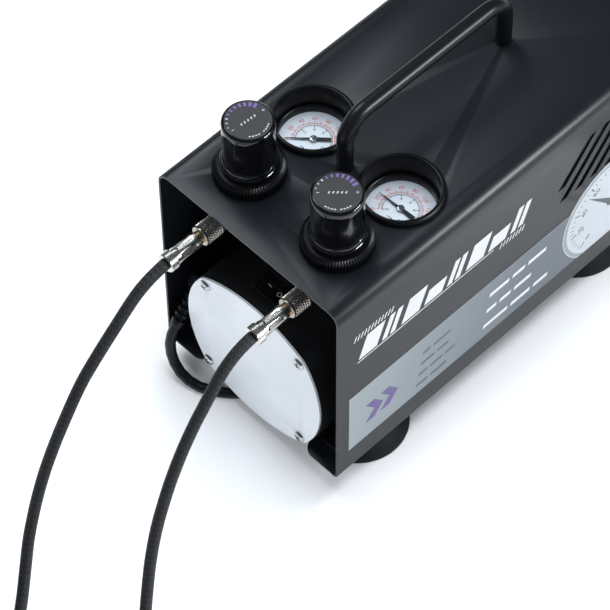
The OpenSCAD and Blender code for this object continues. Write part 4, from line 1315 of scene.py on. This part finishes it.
@dataclass
class CasePanels:
    """Folded cover, base plate, feet, handle and their fasteners."""

    places: Places
    palette: Palette
    foot_x: float = 41.0
    foot_inset: float = 45.0
    handle_r: float = 4.9
    handle_rise: float = 38.0
    handle_bend: float = 16.0
    handle_span: float = 126.0

    def cover(self) -> None:
        """The folded cover with rounded cut edges."""
        copied("cover_shell").bevel(0.3, 2, 35).piece(
            "cover", self.palette["case_coat"], "case", ["cover_shell"], "case_paint", 28
        )
        copied("base_plate").bevel(0.2, 1, 35).piece(
            "tray", self.palette["sheet_steel"], "case", ["base_plate"], "tray_steel", 28
        )

    def feet(self) -> None:
        """The four suction feet."""
        shape = Shape()
        for sx in (-1, 1):
            for y in (self.places.front + self.foot_inset, self.places.rear - self.foot_inset):
                foot = Shape().lathe(
                    [(2.1, 7), (11, 7), (16, 4.6), (22, 2.5), (28, 0.05), (30.2, 0), (31, 0.7), (30.8, 1.7),
                     (27, 3.1), (23, 4.6), (19.5, 6.4), (15.5, 8.6), (12.6, 10.6), (10.8, 13.4), (10, 16),
                     (9.5, 17.6), (8.5, 17.7), (8.5, 19.3), (2.1, 19.3), (2.1, 7)],
                    72,
                )
                shape.join(foot.shift(sx * self.foot_x, y, 0))
        shape.piece("suction_feet", self.palette["soft_rubber"], "case", ["rubber_feet"], "foot_rubber", 40)

    def handle(self) -> None:
        """The bent tube."""
        bend, half, foot = self.handle_bend, self.handle_span / 2, self.places.top
        straight = self.handle_rise - bend
        line: list[Vector] = []
        for s in (-1, 1):
            arc = [
                Vector((0, s * (half - bend + bend * math.cos(a)), foot + straight + bend * math.sin(a)))
                for a in (math.radians(90 * i / 12) for i in range(13))
            ]
            leg = [Vector((0, s * half, foot + 0.02 + straight * i / 4)) for i in range(4)]
            line += (leg + arc) if s < 0 else list(reversed(leg + arc))
        swept(line, self.handle_r, 28).bevel(0.35, 2, 60).piece(
            "handle", self.palette["handle_coat"], "case", ["handle_tube"], "handle_paint", 50
        )

    def build(self) -> None:
        """Builds the case."""
        self.cover()
        self.feet()
        self.handle()
        for node in ("foot_screws", "cover_screws", "handle_nuts"):
            paint(node, self.palette["zinc_plate"])


# ---- label ----------------------------------------------------------------------------------


@dataclass
class SidePrint:
    """Film on the right side, with generic marks and a printed dial."""

    places: Places
    palette: Palette
    low: float = 38.9
    high: float = 90.8
    thick: float = 0.3
    dial_thick: float = 0.5

    @property
    def panel_x(self) -> float:
        """Outer face of the right panel."""
        return self.places.right

    @property
    def film_x(self) -> float:
        """Outer face of the film."""
        return self.panel_x + self.thick

    def on_side(self, shape: Shape, x: float) -> Shape:
        """Stands a flat shape on the right panel: its X runs back, its Y up.

        Args:
            shape: The flat shape.
            x: Height of its origin outside the middle of the case.

        Returns:
            The shape.
        """
        return shape.move(Matrix(((0, 0, 1, x), (1, 0, 0, 0), (0, 1, 0, 0), (0, 0, 0, 1))))

    def slanted(
        self, y: float, z: float, wide: float, tall: float, lean: float = 0.36
    ) -> list[tuple[float, float]]:
        """Outline of a slanted bar.

        Args:
            y: Its foot's front corner.
            z: Height of its foot.
            wide: Its width.
            tall: Its height.
            lean: Shift to the back for each unit of height.

        Returns:
            Four corners.
        """
        return [(y, z), (y + wide, z), (y + wide + tall * lean, z + tall), (y + tall * lean, z + tall)]

    def film(self) -> None:
        """The film itself."""
        front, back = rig.box("side_label")[0][1] / MM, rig.box("side_label")[1][1] / MM
        outline = [(front, self.low), (back, self.low), (back, self.high), (front, self.high)]
        sheet = Shape().slab(outline, 0, self.thick).bevel(0.08, 1)
        self.on_side(sheet, self.panel_x).piece(
            "film", self.palette["label_film"], "case", ["side_label"], "label_film"
        )

    def mark(self) -> None:
        """A generic band of slanted bars with a rule under it, in white ink."""
        shape = Shape()
        y = self.places.at_d(16)
        for wide, tall, gap in (
            (14, 18, 4), (4, 18, 2.2), (4, 18, 5), (14, 18, 4), (14, 11, 4), (4, 18, 2.2), (4, 18, 5),
            (14, 18, 4), (14, 11, 4), (4, 18, 2.2), (4, 18, 0),
        ):
            shape.slab(self.slanted(y, 123.5, wide, tall), 0, 0.1)
            y += wide + gap
        shape.slab(self.slanted(self.places.at_d(15), 121, 108, 0.7), 0, 0.1)
        for i in range(12):
            shape.slab(self.slanted(self.places.at_d(12 + i * 2.6), 143.6, 0.8, 4.6), 0, 0.1)
        for i in range(8):
            shape.slab(self.slanted(self.places.at_d(128 + i * 2.6), 117.0, 0.8, 4.4), 0, 0.1)
        self.on_side(shape, self.panel_x).piece("white_bars", self.palette["white_ink"], "case")

    def small_marks(self) -> None:
        """A violet chevron pair and rows of short rules on the film."""
        violet = Shape()
        base = self.places.at_d(22)
        wide, low, mid, high = 7, 53, 62, 71
        for y in (base, base + 12):
            tip = y + wide
            violet.slab(
                [(y, low), (tip, low), (tip + wide, mid), (tip, high), (y, high), (y + wide, mid)], 0, 0.06
            )
        self.on_side(violet, self.film_x).piece("violet_chevrons", self.palette["violet_ink"], "case")
        ruled = Shape()
        for row in range(4):
            y = self.places.at_d(63 + row * 1.5)
            for wide in ((9, 13), (7, 10, 8), (11, 9), (6, 14))[row]:
                ruled.slab(self.slanted(y, 46 + row * 9.6, wide, 2.2, 0.3), 0, 0.05)
                y += wide + 2.4
        self.on_side(ruled, self.film_x).piece("grey_rules", self.palette["grey_ink"], "case")
        pale = Shape()
        for row in range(3):
            y = self.places.at_d(118 + row * 2)
            for wide in ((20, 16, 12), (8, 9, 14), (16, 10, 15))[row]:
                pale.slab(self.slanted(y, 48 + row * 14, wide, 3.0, 0.3), 0, 0.05)
                y += wide + 3
        self.on_side(pale, self.film_x).piece("pale_rules", self.palette["white_ink"], "case")

    def clipped(self, shape: Shape) -> Shape:
        """Cuts a flat shape off at the film's lower edge."""
        geom = shape.bm.verts[:] + shape.bm.edges[:] + shape.bm.faces[:]
        cut = bmesh.ops.bisect_plane(
            shape.bm, geom=geom, dist=0.0001, plane_co=(0, self.low + 0.4, 0), plane_no=(0, -1, 0),
            clear_outer=True,
        )
        edges = [g for g in cut["geom_cut"] if isinstance(g, bmesh.types.BMEdge)]
        bmesh.ops.holes_fill(shape.bm, edges=edges)
        return shape

    def printed_dial(self) -> None:
        """The large printed gauge near the back of the film."""
        y, z, r = self.places.at_d(225), 71.0, 41.0
        zero, sweep = 225, 270
        thick = self.dial_thick
        face = self.panel_x + thick
        disc = Shape().lathe([(0, 0), (r, 0), (r, thick), (0, thick)], 96).shift(y, z, 0)
        self.on_side(self.clipped(disc), self.panel_x).piece(
            "printed_dial", self.palette["dial_face"], "case"
        )
        rim = Shape().ring(r - 3.2, r - 0.6, 0, 0.06, 96).shift(y, z, 0)
        self.on_side(self.clipped(rim), face).piece("printed_rim", self.palette["pale_ink"], "case")
        black = Shape()
        for i in range(41):
            a = zero - sweep * i / 40
            long = i % 5 == 0
            black.slab(tick(a, r - (11.5 if long else 9.0), r - 6.5, 0.9 if long else 0.45), 0, 0.05)
        for i in range(9):
            a = zero - sweep * i / 8
            black.join(numeral(str(i * 20), 4.6, spot(a, r - 15.5), a - 90, 0, 0.05))
        black.slab([(-1.6, -1.6), (1.6, 1.6), spot(135, 30)], 0, 0.07)
        black.ring(0.1, 3.4, 0, 0.08, 32)
        black.shift(y, z, 0)
        self.on_side(self.clipped(black), face).piece("printed_scale", self.palette["grey_ink"], "case")

    def build(self) -> None:
        """Builds the film and its print."""
        self.film()
        self.mark()
        self.small_marks()
        self.printed_dial()


# ---- regulators and gauges ------------------------------------------------------------------


@dataclass
class Regulator:
    """Knurled panel ring, knob and printed cap of one regulator."""

    side: Side
    places: Places
    palette: Palette
    depth: float = 35.3
    ring_r: float = 20.8
    ring_h: float = 8.5
    knob_r: float = 14.8
    knob_h: float = 37.5
    neck_r: float = 14.95
    print_turn: float = 45.8

    @property
    def centre(self) -> tuple[float, float]:
        """The regulator's axis."""
        return self.side.sign * self.places.reg_x, self.places.at_d(self.depth)

    def panel_ring(self) -> Shape:
        """The toothed ring on the cover."""
        r, h, n, teeth = self.ring_r, self.ring_h, self.neck_r, 76
        shape = Shape().lathe(
            [(n, 0), (r - 0.9, 0), (r, 0.8), (r, h - 2.2), (r - 0.5, h - 1.4), (r - 1.9, h - 0.35),
             (r - 2.6, h), (16.6, h), (16.3, h - 0.35), (n, h - 0.35), (n, 0)],
            teeth * 2,
        )
        for v in shape.bm.verts:
            if v.co.xy.length > r - 2.2 and v.co.z > 0.5:
                index = round(math.atan2(v.co.y, v.co.x) / math.pi * teeth)
                if index % 2:
                    v.co.xy *= 1 - 0.75 / v.co.xy.length
        return shape

    def knob(self) -> Shape:
        """The barrel with its rounded rim, shallow flutes and stepped foot."""
        r, h = self.knob_r, self.knob_h
        shape = Shape().lathe(
            [(11.4, 0.4), (r + 1.2, 0.4), (r + 1.5, 0.8), (r + 1.5, 3.4), (r + 1.1, 4.0), (r + 0.7, 4.2),
             (r + 0.65, 5.6), (r + 0.3, 6.2), (r - 0.15, 6.5), (r - 0.1, 12), (r, 20), (r, h - 5.4),
             (r + 0.12, h - 4.8), (r + 0.12, h - 2.2), (r - 0.2, h - 1.1), (r - 0.9, h - 0.35),
             (r - 1.5, h - 0.15), (r - 1.55, h - 1.4), (0, h - 1.4), (0, h - 3), (11.4, h - 3), (11.4, 0.4)],
            96,
        )
        for v in shape.bm.verts:
            if 6.4 < v.co.z < h - 5.3 and v.co.xy.length > 13:
                turn = math.atan2(v.co.y, v.co.x)
                v.co.xy *= 1 - 0.012 * (0.5 + 0.5 * math.cos(12 * turn))
        return shape

    def cap_ink(self, turn: float) -> tuple[Shape, Shape]:
        """White and violet print of the cap: growing ticks, plus, minus and short dashes.

        Args:
            turn: The knob's turn in degrees.

        Returns:
            The white print and the violet one.
        """
        white, violet = Shape(), Shape()
        low, high = self.knob_h - 0.02, self.knob_h + 0.05
        across = self.print_turn

        def stroke(out: float, angle: float, half: float, width: float) -> None:
            """Adds a white bar on the line across the cap."""
            x, y = spot(across, out)
            white.slab([(x + a, y + b) for a, b in tick(angle, -half, half, width)], low, high)

        for i in range(10):
            ink = white if i < 3 else violet
            ink.slab(tick(across + 166 - 15.2 * i, 11.4 - i * 0.26, 12.3, 0.55 + 0.12 * i), low, high)
        stroke(-10.6, across, 0.9, 0.35)
        stroke(10.6, across, 0.9, 0.35)
        stroke(10.6, across + 90, 0.9, 0.35)
        for start in (across - 128, across - 84):
            for a in range(4):
                white.arc_band(10.9, 11.7, start + a * 9, start + a * 9 + 5.6, low, high)
        for i in range(-2, 3):
            stroke(i * 2.3, across + 62, 0.8, 0.8)
        for ink in (white, violet):
            ink.move(Matrix.Rotation(math.radians(turn), 4, "Z"))
        return white, violet

    def build(self) -> None:
        """Makes the pieces of one regulator."""
        side, (x, y) = self.side.value, self.centre
        base = self.places.top
        body = f"knob_{side}"
        turn = 40.0 if self.side is Side.LEFT else 0.0
        self.panel_ring().shift(x, y, base).piece(
            f"ring_{side}", self.palette["dark_nylon"], "case", ["panel_rings"], "black_nylon", 24
        )
        lift = base + self.ring_h
        self.knob().shift(x, y, lift).piece(
            f"grip_{side}", self.palette["knob_gloss"], body, [f"knob_{side}"], "knob_plastic", 30
        )
        h, c = self.knob_h, self.knob_r - 1.62
        Shape().lathe(
            [(0, h - 1.38), (c, h - 1.38), (c, h - 0.2), (c - 0.28, h), (0, h)], 72
        ).shift(x, y, lift).piece(
            f"cap_{side}", self.palette["cap_face"], body, [f"knob_cap_{side}"], "cap_print"
        )
        white, violet = self.cap_ink(turn)
        white.shift(x, y, lift).piece(f"cap_white_{side}", self.palette["pale_ink"], body)
        violet.shift(x, y, lift).piece(f"cap_violet_{side}", self.palette["violet_ink"], body)
        paint(f"spindle_{side}", self.palette["warm_brass"])


@dataclass
class Gauge:
    """Trim ring, case, printed dial, needle hub and post of one gauge."""

    side: Side
    places: Places
    palette: Palette
    depth: float = 84.5
    trim_r: float = 24.8
    bore: float = 21.9
    dial_r: float = 20.0
    drop: float = 16.9
    rim: float = -11.5
    deep: float = 24.1
    sleeve: float = -12.5
    zero: float = 222.0
    sweep: float = 270.0
    ink_h: float = 0.04
    ink_width: float = 0.26

    @property
    def centre(self) -> tuple[float, float]:
        """The gauge's axis."""
        return self.side.sign * self.places.reg_x, self.places.at_d(self.depth)

    def ticks(
        self, ink: Shape, base: float, ends: tuple[float, float], wide: float, count: int, each: int
    ) -> None:
        """Adds a row of radial ticks.

        Args:
            ink: The print that takes them.
            base: Radius where they start.
            ends: Radii where a short and a long tick end.
            wide: Width of a long tick.
            count: Steps in the scale.
            each: Every so many steps the tick is long.
        """
        for i in range(count + 1):
            long = i % each == 0
            near, far = sorted((base, ends[long]))
            width = wide if long else self.ink_width
            ink.slab(tick(self.zero - self.sweep * i / count, near, far, width), 0.0, self.ink_h)

    def numbers(self, ink: Shape, radius: float, size: float, count: int, each: int) -> None:
        """Adds a row of numbers.

        Args:
            ink: The print that takes them.
            radius: Radius of their middles.
            size: Height of the digits.
            count: Steps in the scale.
            each: Value of one step.
        """
        for i in range(count + 1):
            a = self.zero - self.sweep * i / count
            ink.join(numeral(str(i * each), size, spot(a, radius), a - 90, 0.0, self.ink_h))

    def scale(self) -> tuple[Shape, Shape]:
        """Red outer and black inner print of the dial."""
        red, black = Shape(), Shape()
        end = self.zero - self.sweep
        red.arc_band(11.55, 11.85, self.zero, end, 0.0, self.ink_h)
        self.ticks(red, 11.7, (12.7, 13.4), 0.42, 72, 4)
        self.numbers(red, 15.2, 2.5, 9, 20)
        black.arc_band(10.55, 10.8, self.zero, end, 0.0, self.ink_h)
        self.ticks(black, 10.7, (9.8, 8.9), 0.46, 60, 10)
        self.numbers(black, 7.4, 2.2, 6, 2)
        for y, half in ((-8.2, 2.5), (-10.2, 1.6)):
            black.slab([(-half, y), (half, y), (half, y + 0.5), (-half, y + 0.5)], 0.0, self.ink_h)
        return red, black

    def build(self) -> None:
        """Makes the pieces of one gauge."""
        side, (x, y) = self.side.value, self.centre
        top, dial = self.places.top, self.places.top - self.drop
        t, b, sleeve = self.trim_r, self.bore, self.sleeve
        Shape().lathe(
            [(b, sleeve), (b + 1.1, sleeve), (b + 1.1, 0.0), (t, 0.0), (t, 1.6), (t - 0.3, 2.6),
             (t - 0.9, 3.4), (t - 1.7, 3.8), (b + 0.5, 3.8), (b + 0.12, 3.6), (b, 3.2), (b, sleeve)], 96,
        ).shift(x, y, top).piece(
            f"trim_{side}", self.palette["dark_nylon"], "case", ["gauge_trims"], "black_nylon"
        )
        outer, rim, r, low = b - 0.2, self.rim, self.dial_r, self.rim - self.deep
        Shape().lathe(
            [(0, low), (outer - 1, low), (outer, low + 1), (outer, rim - 0.6), (outer - 0.5, rim),
             (r + 0.5, rim), (r + 0.1, rim - 0.4), (r, rim - 1.0), (r, rim - 5.3), (r + 0.5, rim - 5.35),
             (r + 0.5, rim - 18), (0, rim - 18)], 96,
        ).shift(x, y, top).piece(
            f"gauge_{side}", self.palette["handle_coat"], "case", ["gauge_cases"], "black_steel"
        )
        plate = r + 0.4
        Shape().lathe([(0, -0.5), (plate, -0.5), (plate, 0), (0, 0)], 72).shift(x, y, dial).piece(
            f"dial_{side}", self.palette["dial_face"], "case", ["gauge_dials"], "dial_white"
        )
        red, black = self.scale()
        for name, shape, ink in (("red", red, "red_ink"), ("black", black, "black_ink")):
            shape.shift(x, y, dial).piece(f"scale_{name}_{side}", self.palette[ink], "case")
        Shape().lathe(
            [(0.95, 1.0), (2.0, 1.0), (2.1, 1.3), (2.1, 1.9), (1.7, 2.1), (0.95, 2.1), (0.95, 1.0)], 40
        ).shift(x, y, dial).piece(f"hub_{side}", self.palette["nickel"], f"needle_{side}", (), "brass")
        Shape().lathe([(0, 0.0), (0.8, 0.0), (0.8, 2.2), (0.5, 2.45), (0, 2.5)], 24).shift(x, y, dial).piece(
            f"post_{side}", self.palette["zinc_plate"], "case"
        )
        paint(f"needle_{side}", self.palette["needle_black"])


# ---- front end of the pump ------------------------------------------------------------------


@dataclass
class PumpFront:
    """End housing, plate, screws and switch."""

    places: Places
    palette: Palette
    axis_z: float = 62.5
    screw_half: float = 37.5
    plate_d: float = 2.1
    rocker_d: float = 17.2
    rocker_z: float = 113.5
    rocker_tilt: float = 9.0

    def screw(self) -> Shape:
        """A dome-head screw, its seat at the origin and its head at +Z."""
        return Shape().lathe(
            [(0, -2), (1.9, -2), (1.9, 0), (3.6, 0), (3.75, 0.35), (3.5, 1.0), (2.8, 1.6), (1.7, 1.98),
             (0, 2.08)], 32,
        )

    def cross_shade(self) -> Shape:
        """A black cross in the screw's head: painted shade where the cross slot would lie in shadow."""
        shape = Shape()
        for turn in (0, 90):
            shape.slab(tick(turn, -1.9, 1.9, 0.75), 1.2, 2.1)
        return shape

    def screws(self) -> None:
        """The four screws and the black cross shapes of painted shade in their heads."""
        heads, cross_shades = Shape(), Shape()
        half, y = self.screw_half, self.places.at_d(self.plate_d)
        for sx in (-1, 1):
            for sz in (-1, 1):
                seat = Matrix.Translation((sx * half, y, self.axis_z + sz * half))
                facing = Matrix.Rotation(math.pi / 2, 4, "X") @ Matrix.Rotation(sx * 0.5 + sz, 4, "Z")
                at = seat @ facing
                heads.join(self.screw().move(at))
                cross_shades.join(self.cross_shade().move(at))
        heads.piece("screw_heads", self.palette["zinc_plate"], "case", ["end_screws"], "zinc_screws")
        # black cross shapes: painted shade in the slots of the screw heads
        cross_shades.piece("screw_cross_shade", self.palette["needle_black"], "case")

    def switch(self) -> None:
        """Switch frame, rocker and its two marks."""
        copied("switch_frame").bevel(0.45, 2).piece(
            "rocker_frame", self.palette["switch_gloss"], "case", ["switch_frame"], "black_nylon"
        )
        copied("switch_rocker").bevel(0.4, 3).piece(
            "rocker_cap", self.palette["switch_gloss"], "rocker", ["switch_rocker"], "rocker_plastic"
        )
        marks = Shape().slab(tick(0, -1.4, 1.4, 0.5), 0, 0.08).shift(-3.2, 2.0, 0)
        marks.join(Shape().ring(1.05, 1.55, 0, 0.08, 32).shift(4.4, 1.8, 0))
        for v in marks.bm.verts:
            v.co.z += 3.2 + abs(v.co.x) * 1.4 / 7.8
        place = Matrix.Translation((0, self.places.at_d(self.rocker_d), self.rocker_z))
        marks.move(place @ Matrix.Rotation(math.radians(self.rocker_tilt), 4, "Y")).piece(
            "rocker_marks", self.palette["pale_ink"], "rocker"
        )

    def build(self) -> None:
        """Builds the front of the pump."""
        copied("end_housing").bevel(0.5, 2, 35).piece(
            "housing", self.palette["housing_coat"], "case", ["end_housing"], "housing_black", 28
        )
        copied("end_plate").bevel(0.25, 2, 35).piece(
            "front_plate", self.palette["plate_white"], "case", ["end_plate"], "plate_white", 28
        )
        paint("end_gasket", self.palette["soft_rubber"])
        self.screws()
        self.switch()


@dataclass
class Works:
    """The pump, tank and air lines inside the case."""

    palette: Palette

    def build(self) -> None:
        """Dresses the inner pieces."""
        finishes = {
            "regulator_bodies": "cast_grey", "outlet_nipples": "nickel", "gauge_lenses": "gauge_cover",
            "motor_shell": "housing_coat", "stator": "copper_wire", "motor_shaft": "zinc_plate",
            "rotor_core": "cast_grey", "cooling_fan": "dark_nylon", "crank_disc": "cast_grey",
            "bearings": "zinc_plate", "crankcase": "cast_grey", "piston_rod": "cast_grey",
            "piston": "cast_grey", "cylinder": "cast_grey", "cylinder_head": "cast_grey",
            "air_tank": "tank_coat", "air_pipes": "warm_brass", "pressure_switch": "dark_nylon",
            "safety_valve": "warm_brass", "safety_pin": "zinc_plate", "drain_valve": "warm_brass",
        }
        for node, finish in finishes.items():
            paint(node, self.palette[finish])


def main() -> None:
    """Builds the scene."""
    logging.basicConfig(level=logging.INFO, format="%(message)s")
    Studio().build()
    places, palette = Places(), Palette()
    parts: list = [
        AirHose(
            Side.LEFT, places, palette,
            run=[
                (-34, -167.5, 155.5), (-34, -178, 153.5), (-34, -190, 148), (-33, -206, 137),
                (-32, -222, 125), (-31, -236, 113), (-29, -250, 98), (-27, -263, 82), (-24, -275, 67),
                (-19, -287, 53), (-13, -298, 40), (-6, -308, 27.5), (2, -319, 16), (10, -331, 8),
                (17, -345, 4.2), (22, -357, 3.5), (25, -367.5, 3.5),
            ],
            coil=RoundCoil((-21, -384), 48.5, 7.0, 19.7, 5 + 47.7 / 360),
            tail_at=-28,
        ),
        AirHose(
            Side.RIGHT, places, palette,
            run=[
                (34, -167.5, 155.5), (34, -178, 153), (34.5, -190, 146.5), (36, -204, 134),
                (38, -218, 121.5), (41, -232, 107.5), (44.5, -244, 94), (49, -256, 79), (54, -266, 64),
                (60, -275, 50), (67, -284, 37), (76, -293, 25), (86, -302, 15), (96, -310, 8),
                (105, -317, 4.3), (114, -324, 3.5),
            ],
            coil=RoundCoil((83, -361), 48.5, 7.0, 50.0, 5 + 48 / 360),
            tail_at=2,
        ),
        MainsLead(places, palette),
        CasePanels(places, palette),
        SidePrint(places, palette),
    ]
    for side in Side:
        parts += [Regulator(side, places, palette), Gauge(side, places, palette)]
    parts += [PumpFront(places, palette), Works(palette)]
    for part in parts:
        part.build()
        LOG.info("built %s", type(part).__name__)
    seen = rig.bounds()
    sizes = {"cad": [list(map(float, c)) for c in CAD_BOX], "visual": [list(map(float, c)) for c in seen]}
    with open("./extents.json", "w") as out:
        json.dump(sizes, out)


if __name__ == "__main__":
    main()
